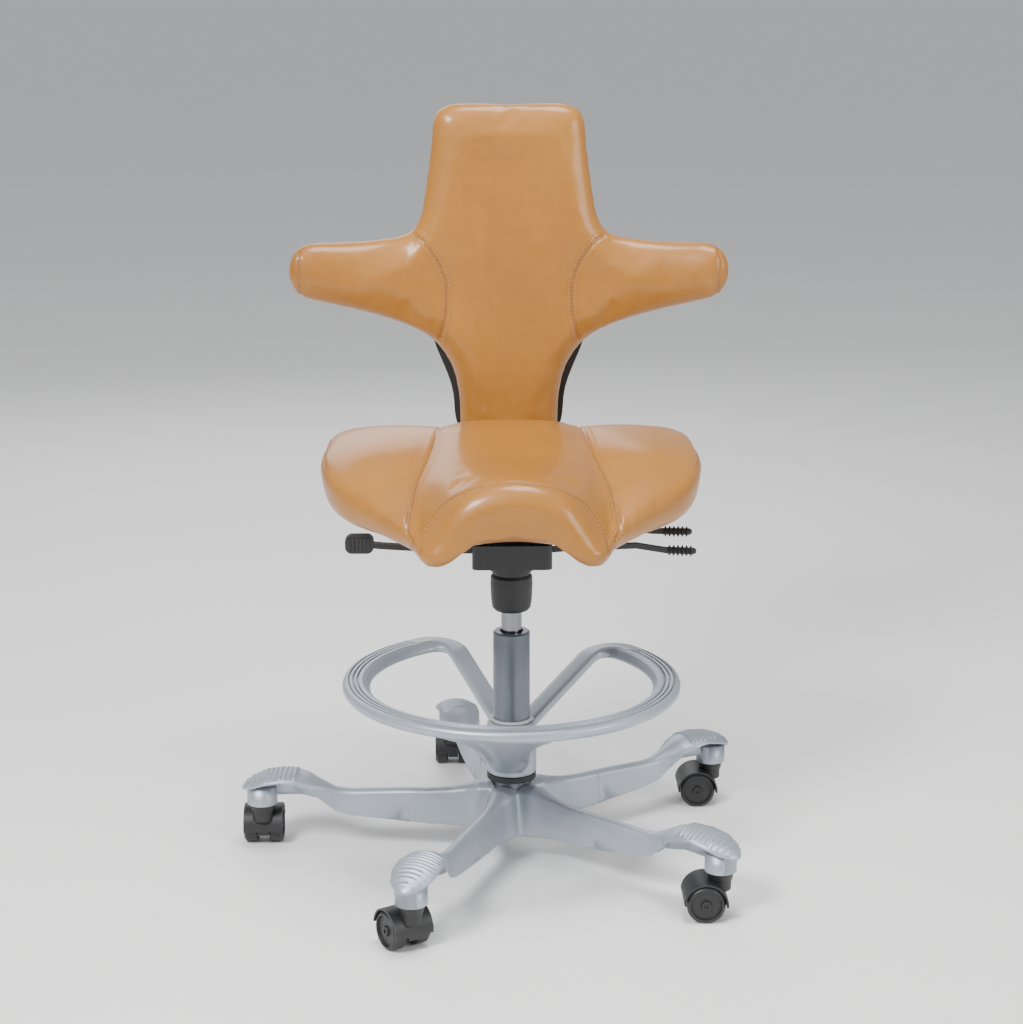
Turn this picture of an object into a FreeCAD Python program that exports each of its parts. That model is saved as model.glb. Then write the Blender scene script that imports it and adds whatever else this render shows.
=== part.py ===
"""A saddle stool with a winged back, on a five-armed swivel base with a foot ring.

Millimetres. The origin is on the floor under the column, +Z is up, the sitter faces -Y and
+X is the sitter's left hand. Every size is a cell of the sheet called Sizes.
"""

import FreeCAD, Part
import math
import os
import re
import Sketcher

Vector = FreeCAD.Vector
Rotation = FreeCAD.Rotation

SIZES = {
    # Fits between pieces
    "running_gap": 0.05,
    "seat_gap": 0.3,
    # Column and gas spring
    "tube_radius": 25,
    "tube_wall": 2,
    "tube_bottom": 39,
    "tube_top": 319,
    "tube_floor": 3,
    "tube_edge": 2,
    "mouth_radius": 16,
    "guide_length": 80,
    "gas_radius": 14,
    "gas_bore": 12,
    "gas_bottom": 86,
    "gas_top": 430,
    "gas_cap": 12,
    "rod_radius": 5,
    "shank_radius": 4,
    "shank_tail": 5,
    "piston_top": 292,
    "piston_height": 12,
    "clip_radius": 9,
    "clip_thickness": 2,
    "bearing_radius": 16,
    "bearing_height": 5,
    "bumper_radius": 17,
    "bumper_height": 9,
    "valve_radius": 2.5,
    "valve_length": 16,
    "valve_stand": 4,
    # Base casting
    "arm_count": 5,
    "first_arm": 31.94,
    "caster_circle": 346.6,
    "hub_bottom": 36,
    "hub_top": 110,
    "hub_radius": 33.75,
    "hub_skirt": 58,
    "arm_wall": 4.5,
    "blade_width": 24,
    "blade_top": 89.5,
    "pad_width": 61,
    "pad_top": 113,
    "pad_rib_height": 1.4,
    "pad_rib_width": 3.4,
    "pad_rib_pitch": 6.7,
    "pad_rib_count": 11,
    "socket_radius": 20.9,
    "socket_bottom": 64,
    "web_thickness": 5,
    # Casters
    "wheel_radius": 25,
    "wheel_width": 19,
    "wheel_spacing": 8,
    "wheel_dish": 3,
    "wheel_hub_radius": 20,
    "caster_trail": 20,
    "axle_radius": 3,
    "stem_radius": 5.5,
    "stem_bottom": 44,
    "stem_top": 88,
    "hood_gap": 1.4,
    "hood_wall": 2.6,
    "hood_start": 8,
    "hood_sweep": 178,
    "caster_neck_radius": 15,
    # Foot ring
    "washer_height": 8,
    "ring_radius": 230,
    "ring_band": 38,
    "ring_height": 243,
    "ring_crown": 11,
    "ring_depth": 17,
    "groove_width": 2.4,
    "groove_depth": 1.6,
    "ring_centre_angle": 82.5,
    "ring_opening_half": 44,
    "bend_radius": 34,
    "spoke_width": 30,
    "spoke_thickness": 14,
    "ring_hub_radius": 34,
    "ring_hub_top": 194,
    "spoke_foot_height": 182,
    "bush_wall": 2,
    "bush_lip": 3,
    # Tilt mechanism
    "sleeve_radius": 28.5,
    "sleeve_length": 49.6,
    "sleeve_gap": 0.4,
    "neck_radius": 25,
    "neck_ring_radius": 28.5,
    "neck_length": 20.5,
    "mech_drop": 10.5,
    "mech_height": 32.5,
    "mech_half_width": 53,
    "mech_waist": 44,
    "mech_front": 60,
    "mech_shoulder": 5,
    "mech_rear": 80,
    "mech_wall": 4,
    "mech_floor": 7.5,
    "tilt_axis_back": 40,
    "tilt_axis_rise": 20.5,
    "tilt_axle_radius": 6,
    "buffer_radius": 8,
    "buffer_height": 7,
    # Levers
    "lever_line": 32,
    "lever_pivot": 44,
    "lever_pivot_rise": 20.5,
    "lever_depth": 12,
    "lever_thickness": 7,
    "lever_pin_radius": 3,
    "height_lever_reach": 221,
    "paddle_length": 38,
    "paddle_height": 25,
    "paddle_thickness": 13,
    "paddle_rise": 9.6,
    "lock_lever_reach": 243,
    "depth_lever_reach": 241,
    "depth_lever_line": 10,
    "depth_lever_pivot": 52,
    "depth_lever_drop": 8,
    "grip_length": 37,
    "grip_radius": 4.6,
    "grip_ring_radius": 7.4,
    "grip_ring_count": 6,
    # Tilting frame, rails and back arm
    "cheek_gap": 1,
    "cheek_thickness": 7,
    "frame_plate_rise": 22,
    "frame_plate_thickness": 6,
    "frame_half_width": 60,
    "frame_front": 90,
    "frame_rear": 112,
    "rail_spacing": 39,
    "rail_width": 11,
    "rail_height": 8,
    "rail_half_length": 92,
    "arm_bar_width": 50,
    "arm_bar_thickness": 10,
    "arm_bar_start": 55,
    "arm_bar_back": 265,
    "arm_bar_bend": 50,
    "arm_bar_top": 800,
    "frame_screw_radius": 3,
    # Seat
    "seat_half_width": 249,
    "seat_rear": 170,
    "seat_front": 232,
    "seat_rise": 93.7,
    "seat_shell_thickness": 8,
    "seat_shell_inset": 14,
    "seat_boss_half_width": 66,
    "seat_screw_radius": 2.5,
    "seat_screw_length": 14,
    # Back
    "back_top": 1009,
    "back_bottom": 520,
    "back_front": 188,
    "back_thickness": 41.7,
    "back_wing_reach": 306,
    "back_wing_height": 784,
    "back_wing_forward": 34,
    "back_shell_thickness": 14,
    "carriage_half_width": 33,
    "carriage_bottom": 640,
    "carriage_length": 120,
    "carriage_wall": 7,
    "ear_reach": 15,
    "ear_inset": 22,
    "ear_half_height": 11,
    "ear_thickness": 5,
    "back_screw_radius": 2.5,
    "back_screw_length": 12,
    "button_radius": 9,
    "button_stand": 7,
    "button_travel": 3,
    "button_pocket": 5.5,
}

# Heights that follow from the sizes, each as a formula of them
LEVELS = {
    "mech_bottom": "gas_top - mech_drop",
    "mech_top": "mech_bottom + mech_height",
    "neck_low": "mech_bottom - neck_length",
    "sleeve_top": "neck_low - sleeve_gap",
    "sleeve_bottom": "sleeve_top - sleeve_length",
    "tilt_axis_height": "mech_bottom + tilt_axis_rise",
    "lever_pivot_height": "mech_bottom + lever_pivot_rise",
    "paddle_centre_height": "lever_pivot_height + paddle_rise",
    "frame_plate_bottom": "mech_top + frame_plate_rise",
    "depth_lever_height": "frame_plate_bottom - depth_lever_drop",
    "rail_bottom": "frame_plate_bottom + frame_plate_thickness + seat_gap",
    "rail_top": "rail_bottom + rail_height",
    "seat_crown": "rail_top + seat_rise",
    "carriage_top": "carriage_bottom + carriage_length",
}

doc = FreeCAD.newDocument("SaddleStool")
sheet = doc.addObject("Spreadsheet::Sheet", "Sizes")
for row, (alias, number) in enumerate(SIZES.items(), start=1):
    sheet.set(f"A{row}", alias)
    sheet.set(f"B{row}", str(number))
    sheet.setAlias(f"B{row}", alias)
doc.recompute()

pieces = []


def bound(formula):
    """The formula with each level written out and each size's name pointing at its cell."""
    def cell(match):
        word = match.group()
        if word in LEVELS:
            return "(" + bound(LEVELS[word]) + ")"
        return "Sizes." + word if word in SIZES else word
    return re.sub(r"[a-z][a-z0-9_]*", cell, formula)


def size(formula):
    """The number that a formula of sizes comes to."""
    return float(sheet.evalExpression(bound(formula)))


def set_place(piece, base, rotation=None):
    """Put a piece at a point given by three formulas, turned by a rotation."""
    piece.Placement = FreeCAD.Placement(Vector(*[size(f) for f in base]), rotation or Rotation())
    for axis, formula in zip("xyz", base):
        if formula != "0":
            piece.setExpression(f".Placement.Base.{axis}", bound(formula))


def keep(piece, name):
    """Label a finished piece with the name of its file."""
    piece.Label = name
    pieces.append(piece)
    return piece


def outlined(body, plane, corners):
    """A closed sketch of straight lines whose corners are formulas of the sizes."""
    sketch = body.newObject("Sketcher::SketchObject", body.Name + "_outline")
    origin = [feature for feature in body.Origin.OriginFeatures if feature.Role == plane][0]
    sketch.AttachmentSupport = (origin, [""])
    sketch.MapMode = "FlatFace"
    points = [Vector(size(across), size(up), 0) for across, up in corners]
    for index, point in enumerate(points):
        sketch.addGeometry(Part.LineSegment(point, points[(index + 1) % len(points)]), False)
    for index in range(len(points)):
        joined = Sketcher.Constraint("Coincident", index, 2, (index + 1) % len(points), 1)
        sketch.addConstraint(joined)
    for index, corner in enumerate(corners):
        for kind, formula, axis, value in (
            ("DistanceX", corner[0], -2, points[index].x),
            ("DistanceY", corner[1], -1, points[index].y),
        ):
            if formula == "0":
                sketch.addConstraint(Sketcher.Constraint("PointOnObject", index, 1, axis))
                continue
            tie = sketch.addConstraint(Sketcher.Constraint(kind, -1, 1, index, 1, value))
            sketch.setExpression(f"Constraints[{tie}]", bound(formula))
    return sketch


def turned(name, corners, plane="XZ_Plane"):
    """A body turned from a half profile about the sketch's upright axis."""
    body = doc.addObject("PartDesign::Body", name)
    sketch = outlined(body, plane, corners)
    turn = body.newObject("PartDesign::Revolution", name + "_turn")
    turn.Profile = sketch
    turn.ReferenceAxis = (sketch, ["V_Axis"])
    turn.Angle = 360
    return keep(body, name)


def turned_ring(name, inner, outer, low, high):
    """A plain ring between two radii and two heights."""
    return turned(name, [(inner, low), (outer, low), (outer, high), (inner, high)])


def formed(name, shape, place=None):
    """A piece whose shape is worked out here from the sheet's sizes."""
    piece = doc.addObject("Part::Feature", name)
    piece.Shape = shape
    if place is not None:
        piece.Placement = place
    return keep(piece, name)


def block(x_low, x_high, y_low, y_high, z_low, z_high, round_radius=0, along="z"):
    """A box between limits, its edges along one axis rounded."""
    box = Part.makeBox(x_high - x_low, y_high - y_low, z_high - z_low, Vector(x_low, y_low, z_low))
    if not round_radius:
        return box
    axis = {"x": Vector(1, 0, 0), "y": Vector(0, 1, 0), "z": Vector(0, 0, 1)}[along]
    picked = [edge for edge in box.Edges if abs(edge.tangentAt(0).dot(axis)) > 0.99]
    return box.makeFillet(round_radius, picked)


def bar_z(radius, low, high, x=0, y=0):
    """An upright cylinder."""
    return Part.makeCylinder(radius, high - low, Vector(x, y, low))


def fused(shapes):
    """Several solids joined into one."""
    return shapes[0].multiFuse(shapes[1:]) if len(shapes) > 1 else shapes[0]


def section(points, edges):
    """A closed wire of lines and three-point arcs, from points by name and edges of two or three."""
    made = []
    for edge in edges:
        places = [points[key] for key in edge]
        if len(places) == 2:
            made.append(Part.LineSegment(*places).toShape())
        else:
            made.append(Part.Arc(*places).toShape())
    return Part.Wire(made)


def circle_rise(half_chord, rise, across):
    """Height above its chord of a circular arc, at a distance across from its middle."""
    radius = (half_chord ** 2 + rise ** 2) / (2 * rise)
    return math.sqrt(radius ** 2 - across ** 2) - (radius - rise)


# Column, gas spring and what holds them

turned("column_tube", [
    ("shank_radius + running_gap", "tube_bottom"),
    ("tube_radius", "tube_bottom"),
    ("tube_radius", "tube_top - tube_edge"),
    ("tube_radius - tube_edge", "tube_top"),
    ("mouth_radius", "tube_top"),
    ("mouth_radius", "tube_top - tube_edge"),
    ("tube_radius - tube_wall", "tube_top - tube_edge * 2"),
    ("tube_radius - tube_wall", "tube_bottom + tube_floor"),
    ("shank_radius + running_gap", "tube_bottom + tube_floor"),
])
turned_ring("column_guide", "gas_radius + running_gap", "tube_radius - tube_wall - running_gap",
            "tube_top - tube_edge * 2 - guide_length", "tube_top - tube_edge * 2 - running_gap")
turned_ring("column_clip", "shank_radius - 1 + running_gap", "clip_radius",
            "tube_bottom - clip_thickness", "tube_bottom")
turned_ring("thrust_bearing", "shank_radius + running_gap", "bearing_radius",
            "tube_bottom + tube_floor", "tube_bottom + tube_floor + bearing_height")
turned_ring("column_bumper", "rod_radius + running_gap", "bumper_radius",
            "tube_bottom + tube_floor + bearing_height",
            "tube_bottom + tube_floor + bearing_height + bumper_height")

turned("piston_rod", [
    ("0", "tube_bottom - clip_thickness - shank_tail"),
    ("shank_radius", "tube_bottom - clip_thickness - shank_tail"),
    ("shank_radius", "tube_bottom - clip_thickness - running_gap"),
    ("shank_radius - 1", "tube_bottom - clip_thickness - running_gap"),
    ("shank_radius - 1", "tube_bottom + running_gap"),
    ("shank_radius", "tube_bottom + running_gap"),
    ("shank_radius", "tube_bottom + tube_floor + bearing_height + running_gap"),
    ("rod_radius", "tube_bottom + tube_floor + bearing_height + running_gap"),
    ("rod_radius", "piston_top - piston_height"),
    ("gas_bore - running_gap", "piston_top - piston_height"),
    ("gas_bore - running_gap", "piston_top"),
    ("0", "piston_top"),
])
turned("gas_cylinder", [
    ("rod_radius + running_gap", "gas_bottom"),
    ("gas_radius - 1", "gas_bottom"),
    ("gas_radius", "gas_bottom + 1"),
    ("gas_radius", "gas_top - 1"),
    ("gas_radius - 1", "gas_top"),
    ("valve_radius + running_gap", "gas_top"),
    ("valve_radius + running_gap", "gas_top - valve_length"),
    ("0", "gas_top - valve_length"),
    ("0", "gas_top - valve_length - gas_cap"),
    ("gas_bore", "gas_top - valve_length - gas_cap"),
    ("gas_bore", "gas_bottom + gas_cap"),
    ("rod_radius + running_gap", "gas_bottom + gas_cap"),
])
turned("valve_button", [
    ("0", "gas_top + valve_stand - valve_length"),
    ("valve_radius", "gas_top + valve_stand - valve_length"),
    ("valve_radius", "gas_top + valve_stand - 0.5"),
    ("valve_radius - 0.5", "gas_top + valve_stand"),
    ("0", "gas_top + valve_stand"),
])

# Base casting: a hub and five arms, each a tall hollow blade that opens into a ribbed foot pad

ARM_EDGES = (("low_left", "low_right"), ("low_right", "right"), ("right", "top", "left"),
             ("left", "low_left"))


def arm_section(reach, half_low, low, half_shoulder, shoulder, top):
    """One upright section of an arm that runs along +X."""
    return section({
        "low_left": Vector(reach, half_low, low),
        "low_right": Vector(reach, -half_low, low),
        "right": Vector(reach, -half_shoulder, shoulder),
        "top": Vector(reach, 0, top),
        "left": Vector(reach, half_shoulder, shoulder),
    }, ARM_EDGES)


def arm_stations():
    """Sections along one arm: reach, low half width, low edge, shoulder half width, height and crown."""
    circle = size("caster_circle")
    hub = size("hub_radius")
    blade = size("blade_width / 2")
    ridge = size("blade_top")
    pad = size("pad_width / 2")
    crown = size("pad_top")
    floor = size("hub_bottom")
    span = circle - 124.6 - hub
    return [
        (10, hub * 0.8, floor, hub * 0.53, ridge + 6, ridge + 13.5),
        (hub + span * 0.06, hub * 0.8, floor + 0.5, hub * 0.53, ridge + 5, ridge + 13.5),
        (hub + span * 0.15, blade * 1.55, floor + 1.5, blade * 1.05, ridge + 1, ridge + 7.5),
        (hub + span * 0.27, blade * 1.2, floor + 3, blade * 0.8, ridge - 3, ridge + 3),
        (hub + span * 0.43, blade * 1.05, floor + 5, blade * 0.72, ridge - 5, ridge + 0.5),
        (hub + span * 0.65, blade, floor + 10, blade * 0.72, ridge - 6, ridge),
        (circle - 124.6, blade, floor + 16, blade * 0.75, ridge - 8.5, ridge - 2.5),
        (circle - 103.6, blade * 1.1, floor + 22, blade * 0.85, ridge - 7, ridge - 0.5),
        (circle - 84.6, pad * 0.58, crown - 38, pad * 0.46, crown - 23, crown - 15),
        (circle - 66.6, pad * 0.83, crown - 21, pad * 0.75, crown - 14.5, crown - 5.5),
        (circle - 48.6, pad * 0.96, crown - 12.5, pad * 0.93, crown - 9.5, crown),
        (circle - 28.6, pad, crown - 10.5, pad * 0.98, crown - 8, crown - 0.5),
        (circle - 6.6, pad * 0.96, crown - 15, pad * 0.94, crown - 11.5, crown - 3.5),
        (circle + 11.4, pad * 0.77, crown - 22, pad * 0.75, crown - 18.5, crown - 11),
        (circle + 23.4, pad * 0.4, crown - 26.5, pad * 0.38, crown - 24, crown - 20),
        (circle + 27.4, pad * 0.14, crown - 28, pad * 0.13, crown - 26.5, crown - 24.5),
    ]


def crown_at(stations, reach):
    """The shoulder half width, shoulder height and crown height of an arm at one reach."""
    for before, after in zip(stations, stations[1:]):
        if before[0] <= reach <= after[0]:
            share = (reach - before[0]) / (after[0] - before[0])
            return [low + (high - low) * share for low, high in zip(before[3:], after[3:])]
    return stations[-1][3:]


def pad_rib(stations, reach):
    """One rib that stands proud across the crowned pad."""
    half_shoulder, shoulder, top = crown_at(stations, reach + size("pad_rib_width / 2"))
    half_rib = half_shoulder * 0.93
    proud = size("pad_rib_height")
    return Part.Face(section({
        "left": Vector(reach, half_rib, shoulder + proud), "top": Vector(reach, 0, top + proud),
        "right": Vector(reach, -half_rib, shoulder + proud),
        "low_right": Vector(reach, -half_rib, shoulder - 2),
        "low_left": Vector(reach, half_rib, shoulder - 2),
    }, (("left", "top", "right"), ("right", "low_right"), ("low_right", "low_left"), ("low_left", "left")))
    ).extrude(Vector(size("pad_rib_width"), 0, 0))


def base_arm():
    """One arm along +X, hollow from below, with its web, caster socket and pad ribs."""
    wall = size("arm_wall")
    circle = size("caster_circle")
    crown = size("pad_top")
    stations = arm_stations()
    outside = Part.makeLoft([arm_section(*row) for row in stations], True, True)
    hollow_span = stations[4:13]
    hollow_rows = [(reach, half_low - wall * 0.6, low - 12, half_shoulder - wall, shoulder - wall, top - wall)
                   for reach, half_low, low, half_shoulder, shoulder, top in hollow_span]
    hollow = Part.makeLoft([arm_section(*row) for row in hollow_rows], True, True)
    head = bar_z(size("socket_radius"), crown - 26, crown + 10, circle).common(outside)
    socket = bar_z(size("socket_radius"), size("socket_bottom"), crown - 24, circle)
    web_half = size("web_thickness / 2")
    web_points = [(-84.6, 72), (-68.6, 74.5), (-54.6, 78), (-16.6, 76), (-16.6, crown - 9),
                  (-48.6, crown - 8), (-66.6, crown - 14), (-84.6, crown - 24)]
    corners = [Vector(circle + reach, -web_half, height) for reach, height in web_points]
    web = Part.Face(Part.makePolygon(corners + corners[:1])).extrude(Vector(0, web_half * 2, 0))
    first_rib = circle - 50
    ribs = [pad_rib(stations, first_rib + index * size("pad_rib_pitch"))
            for index in range(int(size("pad_rib_count")))]
    bore = bar_z(size("stem_radius + running_gap"), size("socket_bottom - 1"), size("stem_top"), circle)
    return outside.cut(hollow).multiFuse([head, socket, web] + ribs).cut(bore)


turn_step = 360 / size("arm_count")
arm = base_arm()
arms = []
for index in range(int(size("arm_count"))):
    copy = arm.copy()
    copy.rotate(Vector(), Vector(0, 0, 1), size("first_arm") + index * turn_step)
    arms.append(copy)
skirt = size("hub_skirt")
hub_radius = size("hub_radius")
hub_bottom = size("hub_bottom")
hub_top = size("hub_top")
hub_corners = [(0, hub_bottom), (skirt, hub_bottom), (skirt - 2, hub_bottom + 12),
               (hub_radius + 9, hub_bottom + 36), (hub_radius + 2.5, hub_top - 18),
               (hub_radius, hub_top - 6), (hub_radius, hub_top), (0, hub_top)]
hub = Part.Face(Part.makePolygon([Vector(r, 0, up) for r, up in hub_corners + hub_corners[:1]]))
star = hub.revolve(Vector(), Vector(0, 0, 1), 360).multiFuse(arms)
star = star.cut(bar_z(size("tube_radius + running_gap"), hub_bottom + 2, hub_top + 1))
star = star.cut(bar_z(size("clip_radius + 3"), hub_bottom - 1, hub_bottom + 3))
formed("base_star", star)

turned_ring("ring_washer", "tube_radius + running_gap", "hub_radius", "hub_top",
            "hub_top + washer_height")

# Foot ring: a grooved band, open at the back, on a front bracket and two back spokes

ring_outer = size("ring_radius")
ring_inner = size("ring_radius - ring_band")
ring_level = size("ring_height")
ring_peak = ring_level + size("ring_crown")
ring_sole = ring_peak - size("ring_depth")
ring_middle = size("ring_radius - ring_band / 2")


def ring_face():
    """The band's section in the XZ plane, with three grooves in its top."""
    groove = size("groove_width")
    depth = size("groove_depth")
    top_points = [Vector(ring_outer - 6, 0, ring_peak - 1.5)]
    for index in range(3):
        edge = ring_outer - 8 - index * 6.5
        top_points += [Vector(edge, 0, ring_peak - 0.8),
                       Vector(edge - groove * 0.3, 0, ring_peak - depth - 0.8),
                       Vector(edge - groove * 0.7, 0, ring_peak - depth - 0.8),
                       Vector(edge - groove, 0, ring_peak - 0.6)]
    top_points += [Vector(ring_outer - 24, 0, ring_peak), Vector(ring_inner + 2, 0, ring_level + 2)]
    sole = [Vector(ring_inner, 0, ring_level - 2), Vector(ring_inner + 4, 0, ring_sole),
            Vector(ring_outer - 8, 0, ring_sole)]
    rim = Part.Arc(sole[-1], Vector(ring_outer, 0, ring_level), top_points[0]).toShape()
    lines = [Part.LineSegment(a, b).toShape() for a, b in zip(top_points, top_points[1:] + sole[:1])]
    lines += [Part.LineSegment(a, b).toShape() for a, b in zip(sole, sole[1:])]
    return Part.Face(Part.Wire([rim] + lines))


def bar_section(centre, heading, width, top, bottom):
    """A flat section with round sides, square to a level heading."""
    across = Vector(0, 0, 1).cross(heading)
    half = width / 2
    side = (top - bottom) / 2
    middle = (top + bottom) / 2
    flat = half - side * 0.8

    def spot(offset, height):
        place = centre + across * offset
        return Vector(place.x, place.y, height)

    return section({
        "a": spot(-flat, top), "b": spot(flat, top), "c": spot(half, middle),
        "d": spot(flat, bottom), "e": spot(-flat, bottom), "f": spot(-half, middle),
    }, (("a", "b"), ("b", "c", "d"), ("d", "e"), ("e", "f", "a")))


def back_spoke():
    """The bend and spoke that start at the band's end on the +Y side of the X axis."""
    bend = size("bend_radius")
    centre_distance = ring_middle - bend
    lean = math.degrees(math.asin(bend / centre_distance))
    bend_centre = Vector(centre_distance, 0, 0)
    spoke_top = size("spoke_foot_height + spoke_thickness / 2")
    thickness = size("spoke_thickness")
    wires = []
    swing = 90 + lean
    for share in (0, 1 / 6, 1 / 3, 1 / 2, 2 / 3, 5 / 6, 1):
        angle = math.radians(swing * share)
        place = bend_centre + Vector(math.cos(angle), math.sin(angle), 0) * bend
        heading = Vector(-math.sin(angle), math.cos(angle), 0)
        width = size("ring_band") + (size("spoke_width") - size("ring_band")) * share
        top = ring_peak - 1 - 6 * share * share
        wires.append(bar_section(place, heading, width - 1, top, top - thickness - 2 * (1 - share)))
    heading = Vector(-math.cos(math.radians(lean)), -math.sin(math.radians(lean)), 0)
    start = bend_centre + Vector(math.cos(math.radians(swing)), math.sin(math.radians(swing)), 0) * bend
    run = start.Length - size("tube_radius")
    start_top = ring_peak - 7
    for share in (0.3, 0.65, 1):
        top = start_top + (spoke_top - start_top) * share
        place = start + heading * (run * share)
        wires.append(bar_section(place, heading, size("spoke_width - 1"), top, top - thickness))
    return Part.makeLoft(wires, True, True)


def front_bracket():
    """The broad bracket from the hub out to the band, along -X."""
    foot = size("ring_hub_top")
    rows = [(size("tube_radius"), 56, foot - 2, foot - 52),
            (size("ring_hub_radius * 2"), 52, foot + 4, foot - 30),
            (ring_inner * 0.62, 66, foot + 18, foot - 4),
            (ring_inner * 0.82, 88, ring_peak - 19, ring_sole - 12),
            (ring_inner * 0.96, 128, ring_peak - 14, ring_sole - 3),
            (ring_inner + 12, 150, ring_peak - 11, ring_sole)]
    wires = [bar_section(Vector(-reach, 0, 0), Vector(-1, 0, 0), width, top, low)
             for reach, width, top, low in rows]
    return Part.makeLoft(wires, True, True)


opening = size("ring_opening_half")
band = ring_face().revolve(Vector(), Vector(0, 0, 1), 360 - 2 * opening)
band.rotate(Vector(), Vector(0, 0, 1), opening)
spoke_one = back_spoke()
spoke_two = spoke_one.mirror(Vector(), Vector(0, 1, 0))
spoke_one.rotate(Vector(), Vector(0, 0, 1), -opening)
spoke_two.rotate(Vector(), Vector(0, 0, 1), opening)
bush_radius = size("tube_radius + bush_wall")
collar_points = [
    (bush_radius, size("hub_top + washer_height")),
    (size("ring_hub_radius"), size("hub_top + washer_height")),
    (size("ring_hub_radius"), size("hub_top + washer_height + 30")),
    (size("ring_hub_radius + 2"), size("ring_hub_top - 30")),
    (size("ring_hub_radius - 2"), size("ring_hub_top")),
    (bush_radius, size("ring_hub_top")),
]
collar = Part.Face(Part.makePolygon([Vector(r, 0, up) for r, up in collar_points + collar_points[:1]]))
collar = collar.revolve(Vector(), Vector(0, 0, 1), 360)
ring = fused([band, spoke_one, spoke_two, front_bracket(), collar])
ring = ring.cut(bar_z(bush_radius + size("running_gap"), size("hub_top"), size("ring_hub_top + 40")))
ring.rotate(Vector(), Vector(0, 0, 1), size("ring_centre_angle"))
formed("foot_ring", ring)

turned("foot_ring_bush", [
    ("tube_radius + running_gap", "hub_top + washer_height"),
    ("tube_radius + bush_wall", "hub_top + washer_height"),
    ("tube_radius + bush_wall", "ring_hub_top"),
    ("tube_radius + bush_wall + bush_lip", "ring_hub_top"),
    ("tube_radius + bush_wall + bush_lip - 1", "ring_hub_top + 2"),
    ("tube_radius + running_gap", "ring_hub_top + 2"),
])

# Tilt mechanism, carried by the gas spring

turned("tension_sleeve", [
    ("gas_radius + seat_gap", "sleeve_bottom"),
    ("sleeve_radius - 6", "sleeve_bottom"),
    ("sleeve_radius - 2.5", "sleeve_bottom + 4"),
    ("sleeve_radius - 0.8", "sleeve_bottom + 16"),
    ("sleeve_radius", "sleeve_bottom + 36"),
    ("sleeve_radius - 0.5", "sleeve_top - 3"),
    ("sleeve_radius - 2.5", "sleeve_top"),
    ("gas_radius + seat_gap", "sleeve_top"),
])

half = size("mech_half_width")
waist = size("mech_waist")
front = size("mech_front")
rear = size("mech_rear")
low = size("mech_bottom")
high = size("mech_top")
wall = size("mech_wall")
floor = size("mech_bottom + mech_floor")
shoulder = size("mech_shoulder")
neck_low = size("neck_low")
pivot = size("lever_pivot")
pivot_height = size("lever_pivot_height")
lever_line = size("lever_line")
lever_half = size("lever_depth / 2")
pin_radius = size("lever_pin_radius")

front_box = block(-half, half, -front, -shoulder, low, high, 9)
rear_box = block(-waist, waist, -shoulder - 12, rear, low, high, 6)
neck = fused([bar_z(size("neck_radius"), neck_low, low + 1),
              bar_z(size("neck_ring_radius"), neck_low + 5, low - 3.5)])
front_room = block(-half + wall, half - wall, -front + wall, -shoulder - wall, floor, high - wall, 5)
rear_room = block(-waist + wall, waist - wall, -shoulder - wall - 6, rear - wall, floor, high - wall, 3)
housing = fused([front_box, rear_box, neck]).cut(fused([front_room, rear_room]))
lugs = []
for side in (-1, 1):
    for offset in (-lever_half - 2.7, lever_half + 0.2):
        y_low = -lever_line + offset
        lugs.append(block(side * pivot - 6, side * pivot + 6, y_low, y_low + 2.5, floor - 1, high - wall + 1))
housing = fused([housing, bar_z(size("gas_radius + 5"), floor - 1, size("gas_top - 2"))] + lugs)
slot_low = pivot_height - 9
slots = block(-half - 1, half + 1, -lever_line - lever_half - 1.5, -lever_line + lever_half + 1.5,
              slot_low, pivot_height + 9)
slots = slots.cut(block(-half + wall, half - wall, -front, 0, slot_low - 1, pivot_height + 10))
pin_hole = size("lever_pin_radius + running_gap")
gas_room = bar_z(size("gas_radius + running_gap"), neck_low - 1, size("gas_top"))
tilt_back = size("tilt_axis_back")
tilt_height = size("tilt_axis_height")
axle_hole = size("tilt_axle_radius + running_gap")
axle_room = Part.makeCylinder(axle_hole, half * 4, Vector(-half * 2, tilt_back, tilt_height), Vector(1, 0, 0))
housing = housing.cut(slots).cut(gas_room).cut(axle_room)
for side in (-1, 1):
    pin_place = Vector(side * pivot, -lever_line - lever_half - 3, pivot_height)
    housing = housing.cut(Part.makeCylinder(pin_hole, lever_half * 2 + 6, pin_place, Vector(0, 1, 0)))
formed("mech_housing", housing)

axle = doc.addObject("Part::Cylinder", "tilt_axle")
axle.setExpression("Radius", bound("tilt_axle_radius"))
axle.setExpression("Height", bound("(mech_waist + cheek_gap + cheek_thickness) * 2"))
set_place(axle, ("-(mech_waist + cheek_gap + cheek_thickness)", "tilt_axis_back", "tilt_axis_height"),
          Rotation(Vector(0, 1, 0), 90))
keep(axle, "tilt_axle")

buffer_radius = size("buffer_radius")
buffer_top = size("mech_top + buffer_height")
buffers = [bar_z(buffer_radius, high, buffer_top, x, y)
           for x in (-half * 0.6, half * 0.6) for y in (-front + 13, rear - 18)]
formed("tilt_buffers", Part.makeCompound(buffers))


# Levers and their grips

def lever_bar(path, thickness, depth, line):
    """A flat bar of one thickness along points in the XZ plane, centred on a Y line."""
    runs = []
    for start, end in zip(path, path[1:]):
        run = Vector(end[0] - start[0], 0, end[1] - start[1])
        long = run.Length
        box = Part.makeBox(long, depth, thickness, Vector(0, -depth / 2, -thickness / 2))
        angle = -math.degrees(math.atan2(run.z, run.x))
        box.rotate(Vector(), Vector(0, 1, 0), angle)
        box.translate(Vector(start[0], line, start[1]))
        runs.append(box)
    knuckles = [Part.makeCylinder(thickness / 2, depth, Vector(x, line - depth / 2, up), Vector(0, 1, 0))
                for x, up in path]
    return fused(runs + knuckles)


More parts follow.
